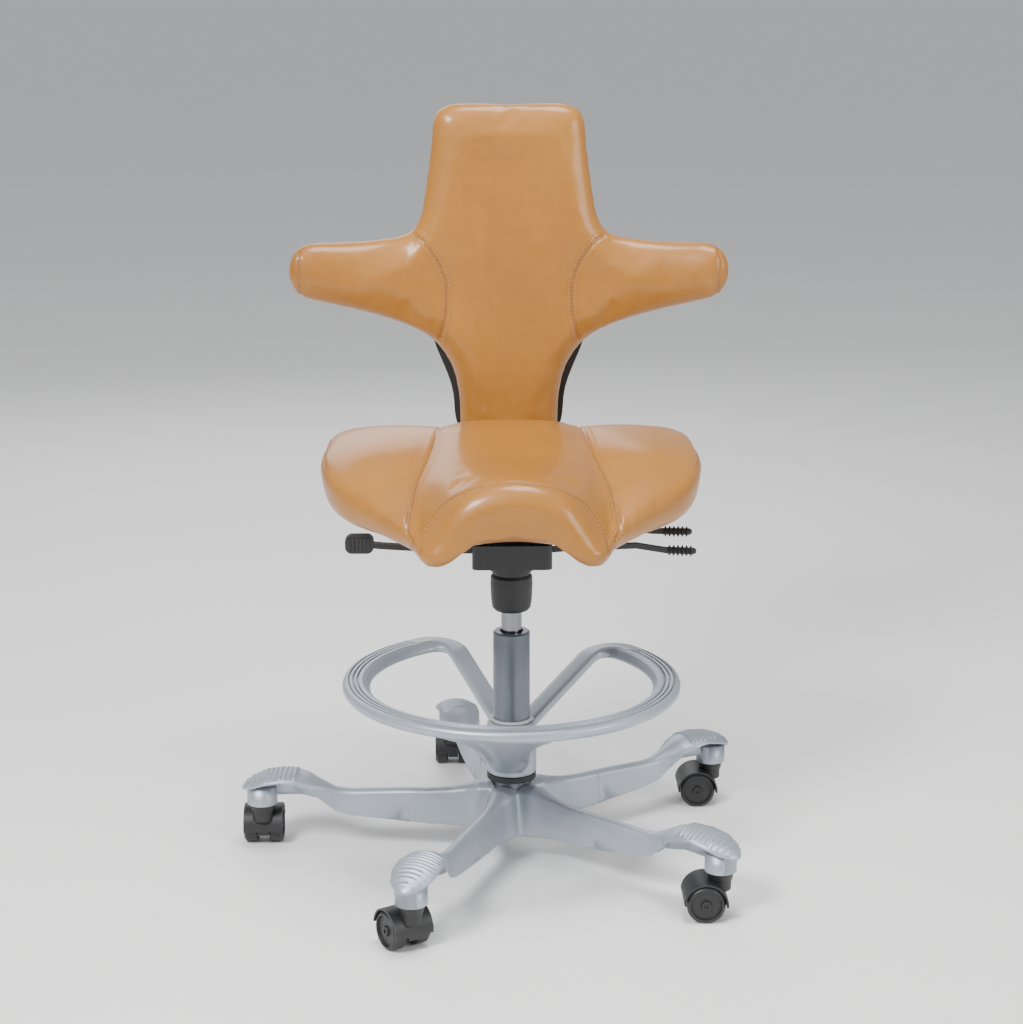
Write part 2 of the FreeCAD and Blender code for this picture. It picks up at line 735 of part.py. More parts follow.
def cross_pin(radius, length, x, line, up):
    """A pin along Y, centred on a line."""
    return Part.makeCylinder(radius, length, Vector(x, line - length / 2, up), Vector(0, 1, 0))


def ringed_grip(start, end, line):
    """A round grip with rings, between two points of the XZ plane."""
    radius = size("grip_radius")
    ring_radius = size("grip_ring_radius")
    count = int(size("grip_ring_count"))
    run = Vector(end[0] - start[0], 0, end[1] - start[1])
    pitch = run.Length / (count + 0.5)
    points = [Vector(0, 0, 0), Vector(radius, 0, 0)]
    for index in range(count):
        at = pitch * (index + 0.6)
        swell = ring_radius - 1.2 * abs(index - (count - 1) / 2) / count
        points += [Vector(radius, 0, at - pitch * 0.3), Vector(swell, 0, at - pitch * 0.12),
                   Vector(swell, 0, at + pitch * 0.12), Vector(radius, 0, at + pitch * 0.3)]
    points += [Vector(radius, 0, run.Length - 1), Vector(radius * 0.6, 0, run.Length + 2),
               Vector(0, 0, run.Length + 2)]
    grip = Part.Face(Part.makePolygon(points + points[:1])).revolve(Vector(), Vector(0, 0, 1), 360)
    grip.Placement = FreeCAD.Placement(Vector(start[0], line, start[1]), Rotation(Vector(0, 0, 1), run))
    return grip


lever_thickness = size("lever_thickness")
pin_length = lever_half * 2 + 5
grip_length = size("grip_length")

paddle_height = size("paddle_centre_height")
paddle_length = size("paddle_length")
height_reach = size("height_lever_reach")
height_path = [(-pivot + 10, pivot_height), (-pivot, pivot_height), (-half - 22, pivot_height + 0.5),
               (-height_reach + paddle_length + 10, paddle_height - 3),
               (-height_reach + paddle_length / 2, paddle_height)]
valve_finger = block(-pivot + 7, 6, -lever_line - lever_half + 1, 6, pivot_height - 3.5, pivot_height + 2.5)
finger_room = size("gas_top + valve_stand + seat_gap")
nib = bar_z(size("valve_radius + 1.5"), finger_room, pivot_height)
height_lever = fused([
    lever_bar(height_path, lever_thickness, lever_half * 2, -lever_line), valve_finger, nib,
    cross_pin(pin_radius, pin_length, -pivot, -lever_line, pivot_height)])
formed("height_lever", height_lever)

paddle_half = size("paddle_height / 2")
paddle_depth = size("paddle_thickness")
paddle = block(-height_reach, -height_reach + paddle_length, -lever_line - paddle_depth / 2,
               -lever_line + paddle_depth / 2, paddle_height - paddle_half, paddle_height + paddle_half,
               9, "y")
paddle_ribs = [block(-height_reach + 5 + index * 5, -height_reach + 7.4 + index * 5,
                     -lever_line - paddle_depth / 2 - 1.6, -lever_line + paddle_depth / 2 + 1.6,
                     paddle_height - paddle_half + 3, paddle_height + paddle_half - 3)
               for index in range(6)]
formed("height_lever_grip", fused([paddle] + paddle_ribs).cut(height_lever))

lock_reach = size("lock_lever_reach")
lock_path = [(pivot - 10, pivot_height), (pivot, pivot_height), (half + 18, pivot_height + 2),
             (lock_reach - 78, pivot_height + 5.5), (lock_reach - 37, pivot_height - 1.4),
             (lock_reach - 8, pivot_height - 2.4)]
lock_lever = fused([lever_bar(lock_path, lever_thickness, lever_half * 1.3, -lever_line),
                    cross_pin(pin_radius, pin_length, pivot, -lever_line, pivot_height)])
formed("tilt_lock_lever", lock_lever)
lock_grip = ringed_grip((lock_reach - grip_length, pivot_height - 1.4), (lock_reach, pivot_height - 2.7),
                        -lever_line)
formed("tilt_lock_grip", lock_grip.cut(lock_lever))

depth_reach = size("depth_lever_reach")
depth_line = size("depth_lever_line")
depth_pivot = size("depth_lever_pivot")
depth_height = size("depth_lever_height")
depth_path = [(depth_pivot - 18, depth_height), (depth_pivot, depth_height),
              (depth_pivot + 25, depth_height - 1), (depth_reach - 50, depth_height - 11.5),
              (depth_reach - 8, depth_height - 12.5)]
depth_lever = fused([lever_bar(depth_path, lever_thickness, lever_half * 1.2, depth_line),
                     cross_pin(pin_radius, lever_half * 1.2 + 10, depth_pivot, depth_line, depth_height)])
formed("seat_depth_lever", depth_lever)
depth_grip = ringed_grip((depth_reach - grip_length, depth_height - 12), (depth_reach, depth_height - 12.8),
                         depth_line)
formed("seat_depth_grip", depth_grip.cut(depth_lever))

# Tilting frame, its back arm and the seat rails

plate_low = size("frame_plate_bottom")
plate_high = size("frame_plate_bottom + frame_plate_thickness")
frame_half = size("frame_half_width")
frame_front = size("frame_front")
frame_rear = size("frame_rear")
cheek_inner = size("mech_waist + cheek_gap")
cheek_outer = size("mech_waist + cheek_gap + cheek_thickness")
frame_parts = [block(-frame_half, frame_half, -frame_front, frame_rear, plate_low, plate_high, 10)]
for side in (-1, 1):
    inner, outer = sorted((side * cheek_inner, side * cheek_outer))
    frame_parts.append(block(inner, outer, tilt_back - 20, tilt_back + 20, tilt_height, plate_low + 1))
    frame_parts.append(Part.makeCylinder(20, outer - inner, Vector(inner, tilt_back, tilt_height),
                                         Vector(1, 0, 0)))
lug_half = lever_half * 0.6
for offset in (-lug_half - 3.3, lug_half + 0.3):
    frame_parts.append(block(depth_pivot - 6, depth_pivot + 6, depth_line + offset,
                             depth_line + offset + 3, depth_height - 5, plate_low + 1))
screw_radius = size("frame_screw_radius")
frame = fused(frame_parts)
frame = frame.cut(axle_room)
frame = frame.cut(cross_pin(pin_hole, lug_half * 2 + 8, depth_pivot, depth_line, depth_height))
bar_half = size("arm_bar_width / 2")
bar_thick = size("arm_bar_thickness")
screw_spots = [(x, y) for x in (-12, 12) for y in (size("arm_bar_start + 12"), size("frame_rear - 12"))]
for x, y in screw_spots:
    frame = frame.cut(bar_z(screw_radius + size("running_gap"), plate_low - 1, plate_high + 1, x, y))
formed("tilt_frame", frame)

bend_radius = size("arm_bar_bend")
bar_back = size("arm_bar_back")
bar_middle = plate_low - bar_thick / 2
bar_start = size("arm_bar_start")
bar_top = size("arm_bar_top")


def bar_outline(offset):
    """The bar's side line at one offset from its middle: a level run, a quarter bend and an upright run."""
    radius = bend_radius + offset
    centre = Vector(0, bar_back - bend_radius, bar_middle + bend_radius)
    turn = [centre + Vector(0, 0, -radius), centre + Vector(0, radius * math.sin(math.pi / 4),
            -radius * math.cos(math.pi / 4)), centre + Vector(0, radius, 0)]
    return [Vector(0, bar_start, centre.z - radius), turn, Vector(0, centre.y + radius, bar_top)]


start_out, turn_out, end_out = bar_outline(bar_thick / 2)
start_in, turn_in, end_in = bar_outline(-bar_thick / 2)
bar_edges = [
    Part.LineSegment(start_out, turn_out[0]), Part.Arc(*turn_out), Part.LineSegment(turn_out[2], end_out),
    Part.LineSegment(end_out, end_in), Part.LineSegment(end_in, turn_in[2]), Part.Arc(*turn_in),
    Part.LineSegment(turn_in[0], start_in), Part.LineSegment(start_in, start_out),
]
bar_side = Part.Face(Part.Wire([edge.toShape() for edge in bar_edges]))
bar_side.translate(Vector(-bar_half, 0, 0))
back_arm = bar_side.extrude(Vector(bar_half * 2, 0, 0))
for x, y in screw_spots:
    back_arm = back_arm.cut(bar_z(screw_radius + size("running_gap"), plate_low - bar_thick - 1,
                                  plate_low + 1, x, y))
formed("back_arm", back_arm)
frame_screws = [fused([bar_z(screw_radius, plate_low - bar_thick + 1, plate_high, x, y),
                       bar_z(screw_radius * 1.9, plate_high, plate_high + 3, x, y)]) for x, y in screw_spots]
formed("frame_screws", Part.makeCompound(frame_screws))

rail_x = size("rail_spacing")
rail_half = size("rail_width / 2")
rail_low = size("rail_bottom")
rail_high = size("rail_top")
rail_long = size("rail_half_length")
seat_screw = size("seat_screw_radius")
seat_screw_top = rail_low + size("seat_screw_length")
seat_spots = [(x, y) for x in (-rail_x, rail_x) for y in (-rail_long * 0.75, rail_long * 0.75)]
rails = []
for x in (-rail_x, rail_x):
    rail = block(x - rail_half, x + rail_half, -rail_long, rail_long, rail_low, rail_high)
    for spot_x, spot_y in seat_spots:
        if spot_x == x:
            rail = rail.cut(bar_z(seat_screw + 0.05, rail_low - 1, rail_high + 1, spot_x, spot_y))
            rail = rail.cut(bar_z(seat_screw * 1.9, rail_low - 1, rail_low + 4, spot_x, spot_y))
    rails.append(rail)
formed("seat_rails", Part.makeCompound(rails))
seat_screws = [fused([bar_z(seat_screw * 1.85, rail_low + 0.8, rail_low + 4, x, y),
                      bar_z(seat_screw, rail_low + 3, seat_screw_top, x, y)]) for x, y in seat_spots]
formed("seat_screws", Part.makeCompound(seat_screws))

# Seat: a saddle whose middle arches over the mechanism and whose wings reach out at the rear

SEAT_EDGES = (("seam_left", "crown", "seam_right"), ("seam_right", "wing_right", "side_right"),
              ("side_right", "turn_right", "low_right"), ("low_right", "arch", "low_left"),
              ("low_left", "turn_left", "side_left"), ("side_left", "wing_left", "seam_left"))


def seat_stations():
    """Sections from rear to front: place, half width, crown, seam, wing, side and underside heights."""
    width = size("seat_half_width")
    rear_edge = size("seat_rear")
    front_edge = size("seat_front")
    top = size("seat_crown")
    span = rear_edge + front_edge
    shares = [
        (0, 0.835, -19, 0.35, -26, 0.66, -24, -42, 0.70, -62, -58),
        (0.025, 0.925, -9, 0.36, -17, 0.72, -14, -41, 0.79, -75, -68),
        (0.09, 0.975, -3, 0.375, -12, 0.74, -8, -44, 0.86, -84, -72),
        (0.22, 0.995, 0, 0.39, -10, 0.74, -8, -45, 0.89, -88, -74),
        (0.42, 1.0, -5, 0.43, -19, 0.75, -15, -50, 0.895, -92, -75),
        (0.58, 0.915, -9, 0.475, -36, 0.72, -32, -62, 0.80, -96, -75),
        (0.715, 0.735, -11, 0.50, -56, 0.635, -57, -79, 0.65, -101, -76),
        (0.84, 0.575, -11, 0.485, -76, 0.54, -83, -96, 0.515, -108, -78),
        (0.955, 0.515, -13, 0.46, -90, 0.495, -97, -106, 0.455, -113, -82),
        (1.0, 0.465, -25, 0.42, -93, 0.447, -100, -105, 0.42, -109, -73),
    ]
    rows = []
    for along, half_width, crown, seam_x, seam, wing_x, wing, side, low_x, under, arch in shares:
        rows.append((rear_edge - span * along, width * half_width, top + crown, width * seam_x,
                     top + seam, width * wing_x, top + wing, top + side, width * low_x,
                     top + under, top + arch))
    return rows


def seat_section(place, half_width, crown, seam_x, seam, wing_x, wing, side, low_x, under, arch):
    """One upright section across the seat."""
    turn_x = half_width - (half_width - low_x) * 0.22
    turn_height = under + (side - under) * 0.3
    points = {"crown": Vector(0, place, crown), "arch": Vector(0, place, arch)}
    for name, sign in (("left", 1), ("right", -1)):
        points["seam_" + name] = Vector(sign * seam_x, place, seam)
        points["wing_" + name] = Vector(sign * wing_x, place, wing)
        points["side_" + name] = Vector(sign * half_width, place, side)
        points["turn_" + name] = Vector(sign * turn_x, place, turn_height)
        points["low_" + name] = Vector(sign * low_x, place, under)
    return section(points, SEAT_EDGES)


seat_rows = seat_stations()
seat_cushion = formed("seat_cushion", Part.makeLoft([seat_section(*row) for row in seat_rows], True))


def shell_section(place, low_x, under, arch):
    """One section of the seat shell: an arched strip that follows the cushion's underside."""
    thick = size("seat_shell_thickness")
    edge = low_x - size("seat_shell_inset")
    top_middle = arch - size("seat_gap")
    top_edge = under + circle_rise(low_x, arch - under, edge) - size("seat_gap")
    return section({
        "a": Vector(edge, place, top_edge), "b": Vector(0, place, top_middle),
        "c": Vector(-edge, place, top_edge), "d": Vector(-edge, place, top_edge - thick),
        "e": Vector(0, place, top_middle - thick), "f": Vector(edge, place, top_edge - thick),
    }, (("a", "b", "c"), ("c", "d"), ("d", "e", "f"), ("f", "a")))


shell = Part.makeLoft([shell_section(row[0], row[8], row[9], row[10]) for row in seat_rows[1:-1]], True)
boss_half = size("seat_boss_half_width")
boss_top = size("seat_crown - 80")
boss = block(-boss_half, boss_half, -rail_long, rail_long + 12, rail_high, boss_top, 12)
cushion_room = seat_cushion.Shape.copy()
cushion_room.translate(Vector(0, 0, -size("seat_gap")))
shell = fused([shell.cut(cushion_room), boss])
for x, y in seat_spots:
    shell = shell.cut(bar_z(seat_screw + 0.05, rail_high - 1, seat_screw_top + 0.5, x, y))
formed("seat_shell", shell)

# Back: an upright pad with two wings, on a shell that a carriage holds to the back arm

PAD_EDGES = (("front_left", "front", "front_right"), ("front_right", "right", "rear_right"),
             ("rear_right", "rear_left"), ("rear_left", "left", "front_left"))


def pad_section(up, half_width, front_face, crown, rear_face):
    """One level section of the back pad."""
    side = (front_face + crown + rear_face) / 2
    return section({
        "front_left": Vector(-half_width * 0.86, front_face + crown, up),
        "front": Vector(0, front_face, up),
        "front_right": Vector(half_width * 0.86, front_face + crown, up),
        "right": Vector(half_width, side, up),
        "rear_right": Vector(half_width * 0.93, rear_face, up),
        "rear_left": Vector(-half_width * 0.93, rear_face, up),
        "left": Vector(-half_width, side, up),
    }, PAD_EDGES)


def pad_rows():
    """Levels of the upright pad: height, half width, front inset and crown."""
    top = size("back_top")
    base = size("back_bottom")
    shares = [
        (0, 56, 12, 5), (0.014, 66, 3, 7), (0.086, 72, 0, 9), (0.16, 76, 0, 10),
        (0.245, 88, 0, 10), (0.317, 102, 0, 11), (0.37, 122, 0, 12), (0.43, 138, 0, 12),
        (0.532, 145, 0, 13), (0.644, 136, 0, 13), (0.734, 124, 0, 12),
        (0.873, 111, 1, 11), (0.961, 103, 3, 9), (0.988, 97, 8, 6), (1, 84, 17, 4),
    ]
    return [(base + (top - base) * share, half_width, inset, crown)
            for share, half_width, inset, crown in shares]


def wing_rows():
    """Sections of one wing: reach, middle height, half height and half thickness."""
    reach = size("back_wing_reach")
    level = size("back_wing_height")
    return [
        (reach - 216, level - 20, 90, 16), (reach - 180, level - 15, 76, 20),
        (reach - 146, level - 14, 58, 24), (reach - 104, level - 8, 48, 26),
        (reach - 54, level - 3.5, 41.5, 25), (reach - 20, level - 1, 36, 23),
        (reach - 5, level, 28, 18), (reach, level, 17, 11),
    ]


def wing_middle(across):
    """Depth of a wing's middle surface: it comes forward towards the tip."""
    reach = size("back_wing_reach")
    start = 110
    share = max(0, (across - start) / (reach - start))
    return size("back_front + back_thickness") - 22 - size("back_wing_forward") * share ** 2


WING_EDGES = (("front_low", "front", "front_high"), ("front_high", "above", "rear_high"),
              ("rear_high", "rear", "rear_low"), ("rear_low", "below", "front_low"))


def wing_section(across, level, half_high, half_thick):
    """One section of a wing, square to X: a rounded oblong of four arcs."""
    middle = wing_middle(across)
    points = {
        "front": Vector(across, middle - half_thick, level),
        "rear": Vector(across, middle + half_thick, level),
        "above": Vector(across, middle, level + half_high),
        "below": Vector(across, middle, level - half_high),
    }
    for depth_name, depth_sign in (("front", -1), ("rear", 1)):
        for high_name, high_sign in (("high", 1), ("low", -1)):
            points[depth_name + "_" + high_name] = Vector(
                across, middle + depth_sign * half_thick * 0.74, level + high_sign * half_high * 0.78)
    return section(points, WING_EDGES)


pad_front = size("back_front")
pad_rear = size("back_front + back_thickness")
pad = Part.makeLoft([pad_section(up, wide, pad_front + inset, crown, pad_rear)
                     for up, wide, inset, crown in pad_rows()], True)
wing = Part.makeLoft([wing_section(*row) for row in wing_rows()], True)
formed("back_cushion", fused([pad, wing, wing.mirror(Vector(), Vector(1, 0, 0))]))

shell_thick = size("back_shell_thickness")
shell_front = pad_rear + size("seat_gap")


def back_shell_section(up, half_width):
    """One level section of the back shell, flat in front and round at its rear corners."""
    corner = shell_thick * 0.6
    rear_face = shell_front + shell_thick
    return section({
        "a": Vector(-half_width, shell_front, up), "b": Vector(half_width, shell_front, up),
        "c": Vector(half_width - corner * 0.2, shell_front + corner * 0.9, up),
        "d": Vector(half_width - corner * 1.4, rear_face, up),
        "e": Vector(-half_width + corner * 1.4, rear_face, up),
        "f": Vector(-half_width + corner * 0.2, shell_front + corner * 0.9, up),
    }, (("a", "b"), ("b", "c", "d"), ("d", "e"), ("e", "f", "a")))


def wing_shell_section(across, level, half_high, half_thick):
    """One section of the shell behind a wing."""
    front_face = wing_middle(across) + half_thick + size("seat_gap")
    rear_face = front_face + shell_thick * 0.7
    tall = half_high * 0.72
    return section({
        "a": Vector(across, front_face, level - tall), "b": Vector(across, rear_face, level - tall * 0.8),
        "c": Vector(across, rear_face, level + tall * 0.8), "d": Vector(across, front_face, level + tall),
    }, (("a", "b"), ("b", "c"), ("c", "d"), ("d", "a")))


waist_top = size("back_bottom + (back_top - back_bottom) * 0.35")
shell_rows = [(up, wide + 2.5 if up < waist_top else wide - 9) for up, wide, _, _ in pad_rows()[1:-1]]
back_shell = Part.makeLoft([back_shell_section(*row) for row in shell_rows], True)
wing_shell = Part.makeLoft([wing_shell_section(*row) for row in wing_rows()[:-2]], True)
wing_room = wing.copy()
wing_room.translate(Vector(0, size("seat_gap"), 0))
wing_shell = wing_shell.cut(wing_room)
pad_room = block(0, half * 4, 0, pad_rear + size("seat_gap"), 0, size("back_top"))
wing_shell = wing_shell.cut(pad.common(pad_room)).cut(wing)
back_shell = fused([back_shell, wing_shell, wing_shell.mirror(Vector(), Vector(1, 0, 0))])

carriage_half = size("carriage_half_width")
carriage_low = size("carriage_bottom")
carriage_high = size("carriage_top")
carriage_front = shell_front + shell_thick + size("running_gap")
carriage_rear = bar_back + bar_thick / 2 + size("carriage_wall")
carriage = block(-carriage_half, carriage_half, carriage_front, carriage_rear, carriage_low, carriage_high, 5)
slide = size("seat_gap")
bar_slot = block(-bar_half - slide, bar_half + slide, bar_back - bar_thick / 2 - slide,
                 bar_back + bar_thick / 2 + slide, carriage_low - 1, carriage_high + 1)
ear_reach = size("carriage_half_width + ear_reach")
ear_half = size("ear_half_height")
ear_thick = size("ear_thickness")
ear_levels = (carriage_low + size("ear_inset"), carriage_high - size("ear_inset"))
ears = [block(-ear_reach, ear_reach, carriage_front, carriage_front + ear_thick, level - ear_half,
              level + ear_half, 5, "y") for level in ear_levels]
button_place = Vector(carriage_half, (carriage_front + carriage_rear) / 2, (carriage_low + carriage_high) / 2)
pocket = Part.makeCylinder(size("button_radius + seat_gap"), size("button_pocket + 1"),
                           button_place + Vector(1, 0, 0), Vector(-1, 0, 0))
carriage = fused([carriage] + ears).cut(bar_slot).cut(pocket)
back_screw = size("back_screw_radius")
back_screw_long = size("back_screw_length")
screw_reach = carriage_half + size("ear_reach / 2")
back_screws = []
for x in (-screw_reach, screw_reach):
    for level in ear_levels:
        start = Vector(x, carriage_front - back_screw_long + ear_thick, level)
        shank = Part.makeCylinder(back_screw, back_screw_long, start, Vector(0, 1, 0))
        hole = Part.makeCylinder(back_screw + size("running_gap"), back_screw_long + 1,
                                 start - Vector(0, 0.5, 0), Vector(0, 1, 0))
        head_place = Vector(x, carriage_front + ear_thick, level)
        head = Part.makeCylinder(back_screw * 1.9, back_screw, head_place, Vector(0, 1, 0))
        carriage = carriage.cut(hole)
        back_shell = back_shell.cut(hole)
        back_screws.append(fused([shank, head]))
formed("back_shell", back_shell)
formed("back_carriage", carriage)
formed("back_screws", Part.makeCompound(back_screws))

button = turned("back_height_button", [
    ("0", "button_travel + seat_gap - button_pocket"),
    ("button_radius", "button_travel + seat_gap - button_pocket"),
    ("button_radius", "button_stand - 1.5"),
    ("button_radius - 1.5", "button_stand"),
    ("0", "button_stand"),
])

# Casters: each turns on its own stem and carries two wheels on one axle


def caster_housing():
    """A caster's web, neck and hood with the swivel axis at the origin and the wheels towards +X."""
    trail = size("caster_trail")
    axle_height = size("wheel_radius")
    inner = size("wheel_radius + hood_gap")
    outer = size("wheel_radius + hood_gap + hood_wall")
    half_wide = size("wheel_spacing + wheel_width")
    web_half = size("wheel_spacing - 0.6")
    neck_radius = size("caster_neck_radius")
    neck_top = size("socket_bottom - seat_gap")
    start = size("hood_start")
    sweep = size("hood_sweep")
    strip = Part.Face(Part.makePolygon([Vector(r, -half_wide * side, 0) for r, side in
                      ((inner, 1), (outer, 1), (outer, -1), (inner, -1), (inner, 1))]))
    hood = strip.revolve(Vector(), Vector(0, -1, 0), sweep)
    hood.rotate(Vector(), Vector(0, -1, 0), start)
    hood.translate(Vector(trail, 0, axle_height))
    disc = Part.makeCylinder(inner + 1, web_half * 2, Vector(trail, -web_half, axle_height), Vector(0, 1, 0))
    disc = disc.common(block(trail - 40, trail + 40, -20, 20, axle_height - 9, axle_height + 40))
    neck_cone = Part.makeCone(neck_radius, neck_radius + 3, 12, Vector(0, 0, neck_top - 12))
    boss = bar_z(neck_radius - 1, axle_height + 14, neck_top - 11)
    wheel_room = [Part.makeCylinder(inner, half_wide, Vector(trail, low_edge, axle_height), Vector(0, 1, 0))
                  for low_edge in (-web_half - half_wide, web_half)]
    body = fused([hood, disc, neck_cone, boss])
    for room in wheel_room:
        body = body.cut(room)
    body = body.cut(bar_z(size("stem_radius + running_gap"), size("stem_bottom - seat_gap"), neck_top + 1))
    return body.cut(Part.makeCylinder(size("axle_radius + running_gap"), 80, Vector(trail, -40, axle_height),
                                      Vector(0, 1, 0)))


CASTERS = (("rear_right", 0, 180), ("rear_left", 1, 90), ("left", 2, 90), ("front_left", 3, 122),
           ("front_right", 4, 180))

housing_shape = caster_housing()
stems = []
for name, index, trail_angle in CASTERS:
    angle = math.radians(size("first_arm") + index * turn_step)
    circle = size("caster_circle")
    foot = Vector(circle * math.cos(angle), circle * math.sin(angle), 0)
    turn = Rotation(Vector(0, 0, 1), trail_angle)
    formed(f"caster_{name}_housing", housing_shape.copy(), FreeCAD.Placement(foot, turn))
    hub_place = foot + turn.multVec(Vector(size("caster_trail"), 0, 0)) + Vector(0, 0, size("wheel_radius"))
    reach = size("wheel_spacing + wheel_width")
    pin = Part.makeCylinder(size("axle_radius"), reach * 2 - 3, Vector(0, -reach + 1.5, 0), Vector(0, 1, 0))
    formed(f"caster_{name}_axle", pin, FreeCAD.Placement(hub_place, turn))
    for side, facing in (("left", 0), ("right", 180)):
        wheel = turned(f"caster_{name}_wheel_{side}", [
            ("axle_radius + running_gap", "wheel_spacing"),
            ("wheel_radius - 2", "wheel_spacing"),
            ("wheel_radius", "wheel_spacing + 2"),
            ("wheel_radius", "wheel_spacing + wheel_width - 3"),
            ("wheel_radius - 3", "wheel_spacing + wheel_width"),
            ("wheel_hub_radius", "wheel_spacing + wheel_width"),
            ("wheel_hub_radius - 1", "wheel_spacing + wheel_width - wheel_dish"),
            ("axle_radius + 4", "wheel_spacing + wheel_width - wheel_dish"),
            ("axle_radius + 3", "wheel_spacing + wheel_width"),
            ("axle_radius + running_gap", "wheel_spacing + wheel_width"),
        ], "XY_Plane")
        wheel.Placement = FreeCAD.Placement(hub_place, turn.multiply(Rotation(Vector(0, 0, 1), facing)))
    stem = fused([bar_z(size("stem_radius"), size("stem_bottom"), size("stem_top - 1"), foot.x, foot.y)])
    stems.append(stem)
formed("caster_stems", Part.makeCompound(stems))

button.Placement = FreeCAD.Placement(button_place, Rotation(Vector(0, 0, 1), Vector(1, 0, 0)))
doc.recompute()

failed = [item.Name for item in doc.Objects if "Invalid" in item.State or "Error" in item.State]
if failed:
    raise ValueError(f"objects that failed: {failed}")
for piece in pieces:
    if piece.Shape.isNull() or not piece.Shape.isValid():
        raise ValueError(f"{piece.Label} has no valid shape")

os.makedirs("parts", exist_ok=True)
for piece in pieces:
    piece.Shape.exportStep(f"parts/{piece.Label}.step")
print(len(pieces), "pieces")
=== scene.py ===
"""Looks of a saddle stool: tan leather pads on a silver five-armed base with a foot ring.

Metres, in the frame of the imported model: the origin is on the floor under the column, +Z is up
and the sitter faces -Y.
"""
import logging
import math
from dataclasses import dataclass, field
from enum import Enum
from typing import Sequence

import bmesh
import bpy
import numpy as np
from mathutils import Euler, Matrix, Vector
from mathutils.bvhtree import BVHTree


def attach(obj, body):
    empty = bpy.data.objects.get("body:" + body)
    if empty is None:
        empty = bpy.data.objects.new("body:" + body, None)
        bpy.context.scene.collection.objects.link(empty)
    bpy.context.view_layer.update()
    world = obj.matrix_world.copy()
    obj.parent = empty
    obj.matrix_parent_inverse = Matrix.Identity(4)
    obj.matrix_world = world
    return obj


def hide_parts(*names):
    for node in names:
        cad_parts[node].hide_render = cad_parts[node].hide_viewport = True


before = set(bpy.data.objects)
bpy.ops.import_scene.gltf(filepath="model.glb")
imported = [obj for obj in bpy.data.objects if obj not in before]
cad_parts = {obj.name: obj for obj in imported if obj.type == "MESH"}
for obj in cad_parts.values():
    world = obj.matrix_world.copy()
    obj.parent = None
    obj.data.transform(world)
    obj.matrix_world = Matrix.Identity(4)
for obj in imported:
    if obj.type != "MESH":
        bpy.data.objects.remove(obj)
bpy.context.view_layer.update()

LOG = logging.getLogger("saddle_stool")
Array = np.ndarray
MM = 0.001


class Sock:
    """A node socket that takes part in Python arithmetic and adds the Math nodes it needs."""

    def __init__(self, nodes: "NodeMaker", socket: object) -> None:
        """Wrap one output socket of a material."""
        self.nodes = nodes
        self.socket = socket

    def _math(self, operation: str, *terms: object) -> "Sock":
        """Add one Math node."""
        return self.nodes.make("ShaderNodeMath", {"operation": operation}, terms)

    def __add__(self, other: object) -> "Sock":
        """Sum."""
        return self._math("ADD", self, other)

    __radd__ = __add__

    def __sub__(self, other: object) -> "Sock":
        """Difference."""
        return self._math("SUBTRACT", self, other)

    def __rsub__(self, other: object) -> "Sock":
        """Difference with this socket on the right."""
        return self._math("SUBTRACT", other, self)

    def __mul__(self, other: object) -> "Sock":
        """Product."""
        return self._math("MULTIPLY", self, other)

    __rmul__ = __mul__

    def __truediv__(self, other: object) -> "Sock":
        """Quotient."""
        return self._math("DIVIDE", self, other)

    def clamped(self) -> "Sock":
        """The value kept between 0 and 1."""
        return self._math("MINIMUM", self._math("MAXIMUM", self, 0.0), 1.0)


